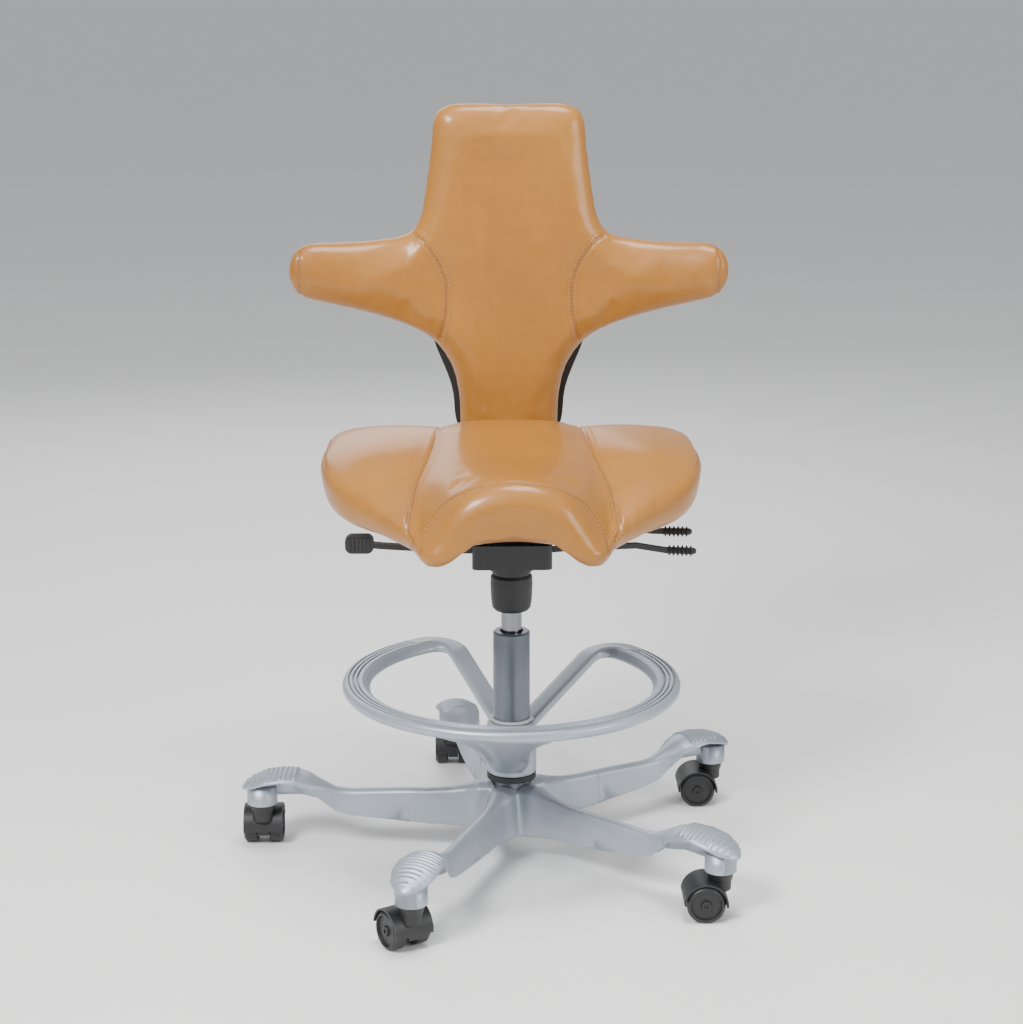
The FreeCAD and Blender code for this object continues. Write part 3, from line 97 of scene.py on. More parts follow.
class NodeMaker:
    """Makes the nodes of one material."""

    def __init__(self, name: str) -> None:
        """Start an empty node material with a Principled shader and its output."""
        self.material = bpy.data.materials.new(name)
        self.material.use_nodes = True
        self.tree = self.material.node_tree
        self.tree.nodes.clear()
        self.shader = self.tree.nodes.new("ShaderNodeBsdfPrincipled")
        output = self.tree.nodes.new("ShaderNodeOutputMaterial")
        self.tree.links.new(self.shader.outputs["BSDF"], output.inputs["Surface"])

    def link(self, value: object, socket: object) -> None:
        """Fill an input socket.

        Args:
            value: a constant, or a socket to link from.
            socket: the input socket.
        """
        if isinstance(value, Sock):
            self.tree.links.new(value.socket, socket)
        else:
            socket.default_value = value

    def make(self, kind: str, settings: dict, inputs: object = (), output: object = 0) -> Sock:
        """Add one node.

        Args:
            kind: the node's type name.
            settings: the node's own properties; a ramp's stops are under "stops".
            inputs: values or links, by socket name in a dict, or in order.
            output: the name or index of the output to use.

        Returns:
            The chosen output, wrapped.
        """
        node = self.tree.nodes.new(kind)
        for key, value in settings.items():
            if key == "stops":
                ramp = node.color_ramp
                while len(ramp.elements) < len(value):
                    ramp.elements.new(0.5)
                for element, (place, colour) in zip(ramp.elements, value):
                    element.position = place
                    element.color = colour
            else:
                setattr(node, key, value)
        items = inputs.items() if isinstance(inputs, dict) else enumerate(inputs)
        for key, value in items:
            self.link(value, node.inputs[key])
        return Sock(self, node.outputs[output])

    def place(self, scale: Sequence[float] = (1, 1, 1)) -> Sock:
        """Object coordinates, scaled along each axis."""
        coordinates = self.make("ShaderNodeTexCoord", {}, (), "Object")
        return self.make("ShaderNodeMapping", {}, {"Vector": coordinates, "Scale": tuple(scale)})

    def noise(self, scale: float, detail: float = 3, stretch: Sequence[float] = (1, 1, 1)) -> Sock:
        """Soft noise on object coordinates, at a scale per metre."""
        values = {"Vector": self.place(stretch), "Scale": scale, "Detail": detail}
        return self.make("ShaderNodeTexNoise", {}, values, "Fac")

    def cells(self, scale: float) -> Sock:
        """Distance to the edges of small cells, as in a grained skin."""
        return self.make("ShaderNodeTexVoronoi", {"feature": "DISTANCE_TO_EDGE"},
                         {"Vector": self.place(), "Scale": scale}, "Distance")

    def attribute(self, name: str) -> Sock:
        """A number stored on the mesh's points."""
        return self.make("ShaderNodeAttribute", {"attribute_name": name}, (), "Fac")

    def ramp(self, factor: Sock, stops: Sequence[tuple]) -> Sock:
        """A colour ramp."""
        return self.make("ShaderNodeValToRGB", {"stops": stops}, {"Fac": factor}, "Color")

    def mix(self, factor: Sock, first: object, second: object) -> Sock:
        """Two colours mixed."""
        return self.make("ShaderNodeMix", {"data_type": "RGBA"}, {0: factor, 6: first, 7: second}, 2)

    def bump(self, height: Sock, distance: float, strength: float = 1.0) -> None:
        """Feed a height, in units of a distance in metres, to the shader's normal."""
        values = {"Height": height, "Distance": distance, "Strength": strength}
        self.link(self.make("ShaderNodeBump", {}, values), self.shader.inputs["Normal"])

    def set(self, **values: object) -> None:
        """Set the shader's sockets; a word's underscores stand for spaces."""
        for key, value in values.items():
            self.link(value, self.shader.inputs[key.replace("_", " ")])


def rgba(red: float, green: float, blue: float) -> tuple:
    """A colour with full alpha."""
    return (red, green, blue, 1.0)


@dataclass(frozen=True)
class Leather:
    """Smooth tan leather: fine grain, gentle cloudiness, and painted shade in and around the seams.

    Its meshes carry seam_distance, in metres, on their points.
    """

    light: tuple = rgba(0.385, 0.158, 0.018)
    deep: tuple = rgba(0.295, 0.112, 0.011)
    # Painted shade: the dark brown laid into the seam grooves and the dips around them.
    seam_shade: tuple = rgba(0.15, 0.05, 0.01)
    grain_scale: float = 950.0
    grain_depth: float = 0.00012
    seam_half_width: float = 0.0013

    def paint(self, nodes: NodeMaker) -> None:
        """Set up the nodes."""
        cloud = nodes.noise(5.0, 4)
        mottle = nodes.noise(60.0, 3)
        tone = (cloud * 0.7 + mottle * 0.3 - 0.32) * 2.4
        skin = nodes.ramp(tone.clamped(), [(0.0, self.deep), (1.0, self.light)])
        seam = nodes.attribute("seam_distance")
        # Painted shade: the skin is darkened fully inside each seam's groove and faintly for 10 mm around it,
        # where it dips; the groove mask also sinks the bump below.
        groove = (1 - seam / self.seam_half_width).clamped()
        seam_valley_shade = (1 - seam / 0.010).clamped()
        colour = nodes.mix((seam_valley_shade * 0.28 + groove * 0.75).clamped(), skin, self.seam_shade)
        grain = (nodes.cells(self.grain_scale) * 3.0).clamped()
        pores = nodes.noise(2600.0, 2)
        wrinkle = nodes.noise(38.0, 5)
        height = grain * 0.55 + pores * 0.25 + wrinkle * 1.6 - groove * 4.0
        nodes.set(Base_Color=colour, Roughness=0.42 + mottle * 0.10 + grain * 0.04, Coat_Weight=0.42,
                  Coat_Roughness=0.19, IOR=1.4)
        nodes.bump(height, self.grain_depth, 0.7)


@dataclass(frozen=True)
class Thread:
    """Sewing thread a little lighter than the leather."""

    colour: tuple = rgba(0.54, 0.27, 0.075)

    def paint(self, nodes: NodeMaker) -> None:
        """Set up the nodes."""
        twist = nodes.noise(4000.0, 2)
        nodes.set(Base_Color=nodes.mix(twist, self.colour, rgba(0.40, 0.18, 0.045)), Roughness=0.6)
        nodes.bump(twist, 0.0001)


@dataclass(frozen=True)
class SatinPaint:
    """Metallic paint on a casting: fine orange peel, soft cloudiness and small scuffs."""

    body: tuple = rgba(0.44, 0.48, 0.53)
    shade: tuple = rgba(0.35, 0.39, 0.44)
    scuff: tuple = rgba(0.66, 0.67, 0.68)
    metallic: float = 0.55
    roughness: float = 0.36
    stretch: tuple = (1, 1, 1)

    def paint(self, nodes: NodeMaker) -> None:
        """Set up the nodes."""
        cloud = nodes.noise(9.0, 4, self.stretch)
        fleck = nodes.noise(2300.0, 2)
        scratch = (nodes.noise(160.0, 5, (1, 3, 0.4)) - 0.66) * 9
        colour = nodes.mix(((cloud - 0.35) * 1.6 + (fleck - 0.5) * 0.35).clamped(), self.shade, self.body)
        colour = nodes.mix((scratch.clamped() * 0.35), colour, self.scuff)
        nodes.set(Base_Color=colour, Metallic=self.metallic,
                  Roughness=self.roughness + fleck * 0.08 + cloud * 0.06)
        nodes.bump(nodes.noise(700.0, 3) + fleck * 0.4, 0.00008, 0.6)


@dataclass(frozen=True)
class Chrome:
    """Polished plating with the faintest turned lines."""

    def paint(self, nodes: NodeMaker) -> None:
        """Set up the nodes."""
        lines = nodes.noise(900.0, 2, (0.02, 0.02, 1))
        nodes.set(Base_Color=rgba(0.20, 0.205, 0.215), Metallic=1.0, Roughness=0.10 + lines * 0.06)
        nodes.bump(lines, 0.00002, 0.4)


@dataclass(frozen=True)
class Steel:
    """Zinc-plated or bare steel."""

    tint: tuple = rgba(0.50, 0.51, 0.52)
    roughness: float = 0.3

    def paint(self, nodes: NodeMaker) -> None:
        """Set up the nodes."""
        brushed = nodes.noise(600.0, 3, (1, 0.08, 1))
        colour = nodes.mix(brushed, self.tint, rgba(0.40, 0.40, 0.42))
        nodes.set(Base_Color=colour, Metallic=1.0, Roughness=self.roughness + brushed * 0.15)
        nodes.bump(brushed, 0.00003)


@dataclass(frozen=True)
class Moulding:
    """Black moulded plastic, powder coat or rubber with a fine grain and faint dust."""

    colour: tuple = rgba(0.012, 0.012, 0.013)
    dust: tuple = rgba(0.06, 0.06, 0.06)
    roughness: float = 0.42
    grain_scale: float = 1400.0
    grain_depth: float = 0.00009

    def paint(self, nodes: NodeMaker) -> None:
        """Set up the nodes."""
        dust = (nodes.noise(24.0, 5) - 0.5) * 1.4
        grain = nodes.noise(self.grain_scale, 3)
        nodes.set(Base_Color=nodes.mix(dust.clamped() * 0.35, self.colour, self.dust),
                  Roughness=self.roughness + grain * 0.12 + dust.clamped() * 0.15)
        nodes.bump(grain, self.grain_depth, 0.8)


class Finish(Enum):
    """The finishes of the stool's pieces."""

    LEATHER = Leather()
    THREAD = Thread()
    CASTING = SatinPaint()
    COLUMN = SatinPaint(rgba(0.17, 0.19, 0.22), rgba(0.13, 0.145, 0.17), rgba(0.3, 0.31, 0.33), 0.72, 0.3,
                        (1, 1, 0.1))
    CHROME = Chrome()
    STEEL = Steel()
    BLACK_STEEL = Moulding(rgba(0.014, 0.014, 0.015), rgba(0.05, 0.05, 0.05), 0.38, 900.0, 0.00006)
    PLASTIC = Moulding()
    BUSH = Moulding(rgba(0.36, 0.38, 0.38), rgba(0.5, 0.5, 0.5), 0.45, 800.0, 0.00005)
    RUBBER = Moulding(rgba(0.016, 0.016, 0.016), rgba(0.07, 0.07, 0.07), 0.6, 700.0, 0.0001)


class Paintbox:
    """Makes each finish once and gives it out."""

    def __init__(self) -> None:
        """Start empty."""
        self.made: dict = {}

    def get(self, finish: Finish) -> bpy.types.Material:
        """The material of a finish."""
        if finish not in self.made:
            nodes = NodeMaker(finish.name.lower())
            finish.value.paint(nodes)
            self.made[finish] = nodes.material
        return self.made[finish]


PAINT = Paintbox()


def smooth_curve(knots: Array, values: Array, where: Array) -> Array:
    """Values along a smooth curve through knots.

    Each span is a cubic whose end slopes are the mean slopes of the spans beside the knot.

    Args:
        knots: rising places, shape (n,).
        values: what the curve passes through, shape (n, ...).
        where: places to read, shape (m,).

    Returns:
        The read values, shape (m, ...).
    """
    knots = np.asarray(knots, float)
    values = np.asarray(values, float)
    steps = np.diff(knots)
    shape = (-1,) + (1,) * (values.ndim - 1)
    slopes = np.diff(values, axis=0) / steps.reshape(shape)
    ends = np.concatenate([slopes[:1], (slopes[1:] + slopes[:-1]) / 2, slopes[-1:]])
    span = np.clip(np.searchsorted(knots, where, side="right") - 1, 0, len(steps) - 1)
    share = ((where - knots[span]) / steps[span]).reshape(shape)
    width = steps[span].reshape(shape)
    low, high = values[span], values[span + 1]
    return ((2 * share ** 3 - 3 * share ** 2 + 1) * low
            + (share ** 3 - 2 * share ** 2 + share) * width * ends[span]
            + (3 * share ** 2 - 2 * share ** 3) * high + (share ** 3 - share ** 2) * width * ends[span + 1])


def closed_loop(points: Array, count: int) -> Array:
    """Smooth closed curves through control points: a Catmull-Rom curve round each row.

    Args:
        points: control points, shape (..., k, d).
        count: how many places to read on each loop.

    Returns:
        The places read, shape (..., count, d).
    """
    total = points.shape[-2]
    spot = np.arange(count) * total / count
    index = spot.astype(int)
    share = (spot - index)[:, None]
    before, start, end, after = (
        np.take(points, (index + shift) % total, axis=-2) for shift in (-1, 0, 1, 2))
    return 0.5 * (2 * start + (end - before) * share + (2 * before - 5 * start + 4 * end - after) * share ** 2
                  + (3 * start - 3 * end + after - before) * share ** 3)


def turned_by(places: Array, angle: float) -> Array:
    """Places (n, 2 or 3) turned about Z by an angle in radians."""
    x, y = places[:, 0], places[:, 1]
    result = places.copy()
    result[:, 0] = x * math.cos(angle) - y * math.sin(angle)
    result[:, 1] = x * math.sin(angle) + y * math.cos(angle)
    return result


def ramped(values: Array, start: float, end: float) -> Array:
    """Shares that go from 0, where the values are at the start, to 1 at the end."""
    return np.clip((values - start) / (end - start), 0, 1)


def quarter_round(share: Array) -> Array:
    """Heights of a quarter circle at shares of its radius, and 1 beyond it."""
    return np.sqrt(1 - (1 - np.clip(share, 0, 1)) ** 2)


def smoothstep(share: Array) -> Array:
    """Shares from 0 to 1 that start and stop gently."""
    return share * share * (3 - 2 * share)


def squared_circle(angle: Array, power: float) -> tuple[Array, Array]:
    """A circle with flattened sides.

    Args:
        angle: places round it, in radians.
        power: 1 for a circle, less for flatter sides.

    Returns:
        The two coordinates, each from -1 to 1: sign(cos) * |cos|^power, and the same with sin.
    """
    across, rise = np.cos(angle), np.sin(angle)
    return np.sign(across) * np.abs(across) ** power, np.sign(rise) * np.abs(rise) ** power


class MeshShop:
    """Turns arrays into finished mesh objects."""

    @staticmethod
    def raw(name: str, points: Array, faces: Array) -> bpy.types.Object:
        """An object from arrays.

        Args:
            name: the object's name.
            points: places, shape (n, 3).
            faces: indexes of three or four corners, shape (m, 3 or 4).

        Returns:
            The object, shaded smooth.
        """
        mesh = bpy.data.meshes.new(name)
        corners = faces.shape[1]
        mesh.vertices.add(len(points))
        mesh.vertices.foreach_set("co", np.ascontiguousarray(points, np.float32).ravel())
        mesh.loops.add(faces.size)
        mesh.loops.foreach_set("vertex_index", np.ascontiguousarray(faces, np.int32).ravel())
        mesh.polygons.add(len(faces))
        mesh.polygons.foreach_set("loop_start", np.arange(0, faces.size, corners, dtype=np.int32))
        mesh.polygons.foreach_set("loop_total", np.full(len(faces), corners, np.int32))
        mesh.polygons.foreach_set("use_smooth", np.ones(len(faces), bool))
        mesh.update(calc_edges=True)
        mesh.validate()
        return in_scene(name, mesh)

    @staticmethod
    def grid_arrays(points: Array, ends: bool = True) -> tuple[Array, Array]:
        """Points and quads of a grid whose rows are closed loops.

        A cap is a fan of quads whose two inner corners meet at the end row's centre.

        Args:
            points: places, shape (rows, columns, 3).
            ends: whether the first and last row get a cap.

        Returns:
            Points (n, 3) and quads (m, 4).
        """
        rows, columns = points.shape[:2]
        left = np.arange(rows * columns).reshape(rows, columns)
        right = np.roll(left, -1, axis=1)
        quads = np.stack([left[:-1], right[:-1], right[1:], left[1:]], axis=-1).reshape(-1, 4)
        flat = points.reshape(-1, 3)
        if not ends:
            return flat, quads
        hub, far_hub = np.full_like(left[0], len(flat)), np.full_like(left[0], len(flat) + 1)
        first = np.stack([left[0], hub, hub, right[0]], -1)
        last = np.stack([right[-1], far_hub, far_hub, left[-1]], -1)
        flat = np.concatenate([flat, points[0].mean(0)[None], points[-1].mean(0)[None]])
        caps = np.concatenate([first, last])
        return flat, np.concatenate([quads, caps])

    @staticmethod
    def halves(quads: Array) -> Array:
        """The triangles of quads (m, 4), without those that have two equal corners."""
        triangles = np.concatenate([quads[:, [0, 1, 2]], quads[:, [0, 2, 3]]])
        whole = (triangles != np.roll(triangles, 1, axis=1)).all(1)
        return triangles[whole]

    @classmethod
    def grid(cls, name: str, points: Array, ends: bool = True) -> bpy.types.Object:
        """An object from a grid, its normals made to point outwards.

        Args:
            name: the object's name.
            points: places, shape (rows, columns, 3), each row a closed loop.
            ends: whether the first and last row get a cap.

        Returns:
            The object.
        """
        flat, quads = cls.grid_arrays(points, ends)
        obj = cls.raw(name, flat, cls.halves(quads))
        if ends:
            cls.point_outwards(obj)
        return obj

    @staticmethod
    def point_outwards(obj: bpy.types.Object) -> None:
        """Turn a closed mesh's faces out if its signed volume is negative."""
        places = points_of(obj)[triangles_of(obj)]
        volume = np.einsum("ij,ij->i", places[:, 0], np.cross(places[:, 1], places[:, 2])).sum()
        if volume < 0:
            obj.data.flip_normals()

    @classmethod
    def turned(cls, name: str, profile: Sequence[tuple], segments: int = 96) -> bpy.types.Object:
        """A closed solid of revolution about Z.

        Args:
            name: the object's name.
            profile: a closed profile of (radius, height), in metres.
            segments: how many steps go round.

        Returns:
            The object.
        """
        profile = np.asarray(profile, float)
        angles = np.linspace(0, 2 * math.pi, segments, endpoint=False)
        grid = np.empty((segments, len(profile), 3))
        grid[..., 0] = np.cos(angles)[:, None] * profile[:, 0]
        grid[..., 1] = np.sin(angles)[:, None] * profile[:, 0]
        grid[..., 2] = profile[:, 1]
        ring = np.concatenate([grid, grid[:1]])
        flat, quads = cls.grid_arrays(ring, False)
        obj = cls.raw(name, flat, quads)
        apply_modifier(obj, "WELD", merge_threshold=1e-6)
        cls.point_outwards(obj)
        return obj


def in_scene(name: str, data: bpy.types.ID) -> bpy.types.Object:
    """A new object of the scene that shows a mesh, lamp or camera."""
    obj = bpy.data.objects.new(name, data)
    bpy.context.scene.collection.objects.link(obj)
    return obj


def points_of(obj: bpy.types.Object, kind: str = "co") -> Array:
    """An object's points, or with the kind "normal" their normals, as an array (n, 3)."""
    values = np.empty(len(obj.data.vertices) * 3, np.float32)
    obj.data.vertices.foreach_get(kind, values)
    return values.reshape(-1, 3).astype(float)


def triangles_of(obj: bpy.types.Object) -> Array:
    """The point indexes of an object's triangles, shape (n, 3)."""
    obj.data.calc_loop_triangles()
    corners = np.empty(len(obj.data.loop_triangles) * 3, np.int32)
    obj.data.loop_triangles.foreach_get("vertices", corners)
    return corners.reshape(-1, 3)


def set_points(obj: bpy.types.Object, places: Array) -> None:
    """Move an object's points."""
    obj.data.vertices.foreach_set("co", np.ascontiguousarray(places, np.float32).ravel())
    obj.data.update()


def acting_on(parts: Sequence[bpy.types.Object]) -> object:
    """A context in which operators work on some objects, the first of them active."""
    return bpy.context.temp_override(object=parts[0], active_object=parts[0], selected_objects=list(parts),
                                     selected_editable_objects=list(parts))


def apply_modifier(obj: bpy.types.Object, kind: str, **settings: object) -> None:
    """Add one modifier and bake it into the mesh.

    Args:
        obj: the object.
        kind: the modifier's type name.
        settings: its properties.
    """
    modifier = obj.modifiers.new(kind.lower(), kind)
    for key, value in settings.items():
        setattr(modifier, key, value)
    with acting_on([obj]):
        bpy.ops.object.modifier_apply(modifier=modifier.name)


def join(name: str, parts: Sequence[bpy.types.Object]) -> bpy.types.Object:
    """Make several mesh objects one.

    Args:
        name: the whole's name.
        parts: the objects.

    Returns:
        The first object, which now holds them all.
    """
    with acting_on(parts):
        bpy.ops.object.join()
    parts[0].name = name
    parts[0].data.name = name
    return parts[0]


def dress(obj: bpy.types.Object, finish: Finish) -> bpy.types.Object:
    """Give an object one finish and smooth shading, and return it."""
    obj.data.materials.clear()
    obj.data.materials.append(PAINT.get(finish))
    obj.data.polygons.foreach_set("use_smooth", np.ones(len(obj.data.polygons), bool))
    return obj


def sharpen(obj: bpy.types.Object, angle: float = 32) -> bpy.types.Object:
    """Keep edges sharper than an angle in degrees crisp under smooth shading, and return the object."""
    with acting_on([obj]):
        bpy.ops.object.shade_smooth_by_angle(angle=math.radians(angle))
    return obj


def place_piece(obj: bpy.types.Object, body: str, slot: str, *nodes: str) -> bpy.types.Object:
    """Hand a piece over to the model.

    Args:
        obj: the piece.
        body: the body it rides on.
        slot: its material slot; not used.
        nodes: the CAD nodes it stands for.

    Returns:
        The piece.
    """
    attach(obj, body)
    if nodes:
        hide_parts(*nodes)
    LOG.info("%s rides on %s", obj.name, body)
    return obj


def distance_to_line(points: Array, line: Array, chunk: int = 4000) -> Array:
    """Distance from each point to a finely sampled line.

    Args:
        points: places, shape (n, 3).
        line: samples of the line, shape (k, 3).
        chunk: how many points are worked on at a time.

    Returns:
        The distances, shape (n,).
    """
    distance = np.empty(len(points))
    for start in range(0, len(points), chunk):
        gaps = ((points[start:start + chunk, None] - line[None]) ** 2).sum(-1)
        distance[start:start + chunk] = np.sqrt(gaps.min(1))
    return distance


def read_line(points: Array, count: int, last: bool = True) -> Array:
    """Places spread evenly along a polyline.

    Args:
        points: its corners, shape (n, d).
        count: how many places to read.
        last: whether the last corner is one of them.

    Returns:
        The places, shape (count, d).
    """
    lengths = np.concatenate([[0], np.cumsum(np.linalg.norm(np.diff(points, axis=0), axis=1))])
    where = np.linspace(0, lengths[-1], count, endpoint=last)
    return np.stack([np.interp(where, lengths, values) for values in points.T], -1)


def even_line(points: Array, step: float) -> Array:
    """A polyline read again at even steps along its length.

    Args:
        points: its corners, shape (n, 3).
        step: about how far apart the new places are.

    Returns:
        The new places, shape (m, 3), both ends among them.
    """
    total = np.linalg.norm(np.diff(points, axis=0), axis=1).sum()
    return read_line(points, max(3, int(total / step)))


@dataclass
class Seam:
    """A sewn seam on a pad.

    Its line lies close to the skin. Depth and width are those of its groove, rows the offsets of its
    stitch rows, and valley how far the skin dips around it, all in metres.
    """

    line: Array
    depth: float = 0.0016
    width: float = 0.0035
    rows: tuple = (-0.0042, 0.0042)
    valley: float = 0.0


@dataclass
class PadShop:
    """Makes a pad of leather over foam from a closed starting mesh."""

    voxel: float = 0.005
    relax: int = 12
    pressure: float = 3.0
    most: float = 0.006
    stitch_pitch: float = 0.0052
    stitch_length: float = 0.0036
    stitch_radius: float = 0.00058
    seam_step: float = 0.0012
    lay_step: float = 0.004
    lift_share: float = 0.35
    valley_half_width: float = 0.016
    stiffness: float = 25
    frames: int = 14

    def swell(self, obj: bpy.types.Object) -> None:
        """Let the skin swell as cloth under a little pressure, no point moving more than the most."""
        before = points_of(obj)
        cloth = obj.modifiers.new("cloth", "CLOTH")
        cloth.settings.quality = 4
        cloth.settings.use_pressure = True
        cloth.settings.uniform_pressure_force = self.pressure
        cloth.settings.effector_weights.gravity = 0.0
        cloth.settings.tension_stiffness = self.stiffness
        cloth.settings.compression_stiffness = self.stiffness
        cloth.settings.bending_stiffness = 4
        cloth.point_cache.frame_start = 1
        cloth.point_cache.frame_end = self.frames + 2
        for step in range(1, self.frames + 1):
            bpy.context.scene.frame_set(step)
        depsgraph = bpy.context.evaluated_depsgraph_get()
        after = points_of(obj.evaluated_get(depsgraph))
        obj.modifiers.remove(cloth)
        bpy.context.scene.frame_set(1)
        move = after - before
        length = np.linalg.norm(move, axis=1, keepdims=True)
        set_points(obj, before + move * np.minimum(1, self.most / np.maximum(length, 1e-9)))

    def finish(self, obj: bpy.types.Object, seams: Sequence[Seam]) -> bpy.types.Object:
        """Remesh, relax and swell the start, then sink its seams and store their distance.

        A point near a seam sinks by depth * exp(-(distance / width)^2), and the leather beside it
        stands up a little on the folded allowance.

        Args:
            obj: the pad's closed starting mesh.
            seams: its seams, whose lines are laid on the skin here.

        Returns:
            The pad.
        """
        apply_modifier(obj, "REMESH", mode="VOXEL", voxel_size=self.voxel)
        apply_modifier(obj, "SMOOTH", factor=0.5, iterations=self.relax)
        self.swell(obj)
        apply_modifier(obj, "SMOOTH", factor=0.5, iterations=3)
        apply_modifier(obj, "SUBSURF", levels=1, render_levels=1)
        self.lay_seams(obj, seams)
        places = points_of(obj)
        normals = points_of(obj, "normal")
        closest = np.full(len(places), 1.0)
        for seam in seams:
            low, high = seam.line.min(0) - 0.03, seam.line.max(0) + 0.03
            near = np.nonzero(((places > low) & (places < high)).all(1))[0]
            distance = distance_to_line(places[near], even_line(seam.line, self.seam_step))
            sink = seam.depth * np.exp(-(distance / seam.width) ** 2)
            lift = seam.depth * self.lift_share * np.exp(-((distance - seam.width * 2) / seam.width) ** 2)
            valley = seam.valley * np.exp(-(distance / self.valley_half_width) ** 2)
            places[near] += normals[near] * (lift - sink - valley)[:, None]
            closest[near] = np.minimum(closest[near], distance)
        set_points(obj, places)
        stored = obj.data.attributes.new("seam_distance", "FLOAT", "POINT")
        stored.data.foreach_set("value", closest.astype(np.float32))
        return obj

    def lay_seams(self, obj: bpy.types.Object, seams: Sequence[Seam]) -> None:
        """Drop each seam's line onto the skin."""
        tree = self.tree_of(obj)
        for seam in seams:
            line = even_line(seam.line, self.lay_step)
            seam.line = np.array([tree.find_nearest(Vector(spot))[0][:] for spot in line])

    @staticmethod
    def tree_of(obj: bpy.types.Object) -> BVHTree:
        """A search tree over an object's faces."""
        return BVHTree.FromPolygons(points_of(obj).tolist(), triangles_of(obj).tolist())

    def stitch(self, name: str, obj: bpy.types.Object, seams: Sequence[Seam]) -> bpy.types.Object:
        """All the stitches beside the seams: short six-sided spindles along each row.

        Args:
            name: the object's name.
            obj: the finished pad.
            seams: its seams.

        Returns:
            One object of all the stitches.
        """
        tree = self.tree_of(obj)
        centres, along, up = [], [], []
        for seam in seams:
            line = even_line(seam.line, self.stitch_pitch)
            tangent = np.gradient(line, axis=0)
            tangent /= np.linalg.norm(tangent, axis=1, keepdims=True)
            hits = [tree.find_nearest(Vector(spot)) for spot in line]
            normal = np.array([hit[1][:] for hit in hits])
            across = np.cross(tangent, normal)
            for row in seam.rows:
                spots = line + across * row
                hits = [tree.find_nearest(Vector(spot)) for spot in spots]
                centres.append(np.array([hit[0][:] for hit in hits])[1:-1])
                along.append(tangent[1:-1])
                up.append(np.array([hit[1][:] for hit in hits])[1:-1])
        centres, along, up = (np.concatenate(group) for group in (centres, along, up))
        side = np.cross(along, up)
        side /= np.linalg.norm(side, axis=1, keepdims=True)
        ends = np.array([-1, -0.55, 0.55, 1])
        girth = np.array([0.25, 1, 1, 0.25])
        turn = np.linspace(0, 2 * math.pi, 6, endpoint=False)
        offset_up = girth[:, None] * np.cos(turn)
        offset_side = girth[:, None] * np.sin(turn)
        local = (centres[:, None, None]
                 + along[:, None, None] * (ends[:, None, None] * self.stitch_length / 2)
                 + up[:, None, None] * (offset_up[..., None] * self.stitch_radius)
                 + side[:, None, None] * (offset_side[..., None] * self.stitch_radius))
        flat, quads = MeshShop.grid_arrays(local[0])
        count = len(flat)
        ends_middle = local[:, [0, -1]].mean(2)
        points = np.concatenate([local.reshape(len(centres), -1, 3), ends_middle], axis=1).reshape(-1, 3)
        faces = (quads[None] + (np.arange(len(centres)) * count)[:, None, None]).reshape(-1, 4)
        stitches = MeshShop.raw(name, points, MeshShop.halves(faces))
        MeshShop.point_outwards(stitches)
        return dress(stitches, Finish.THREAD)


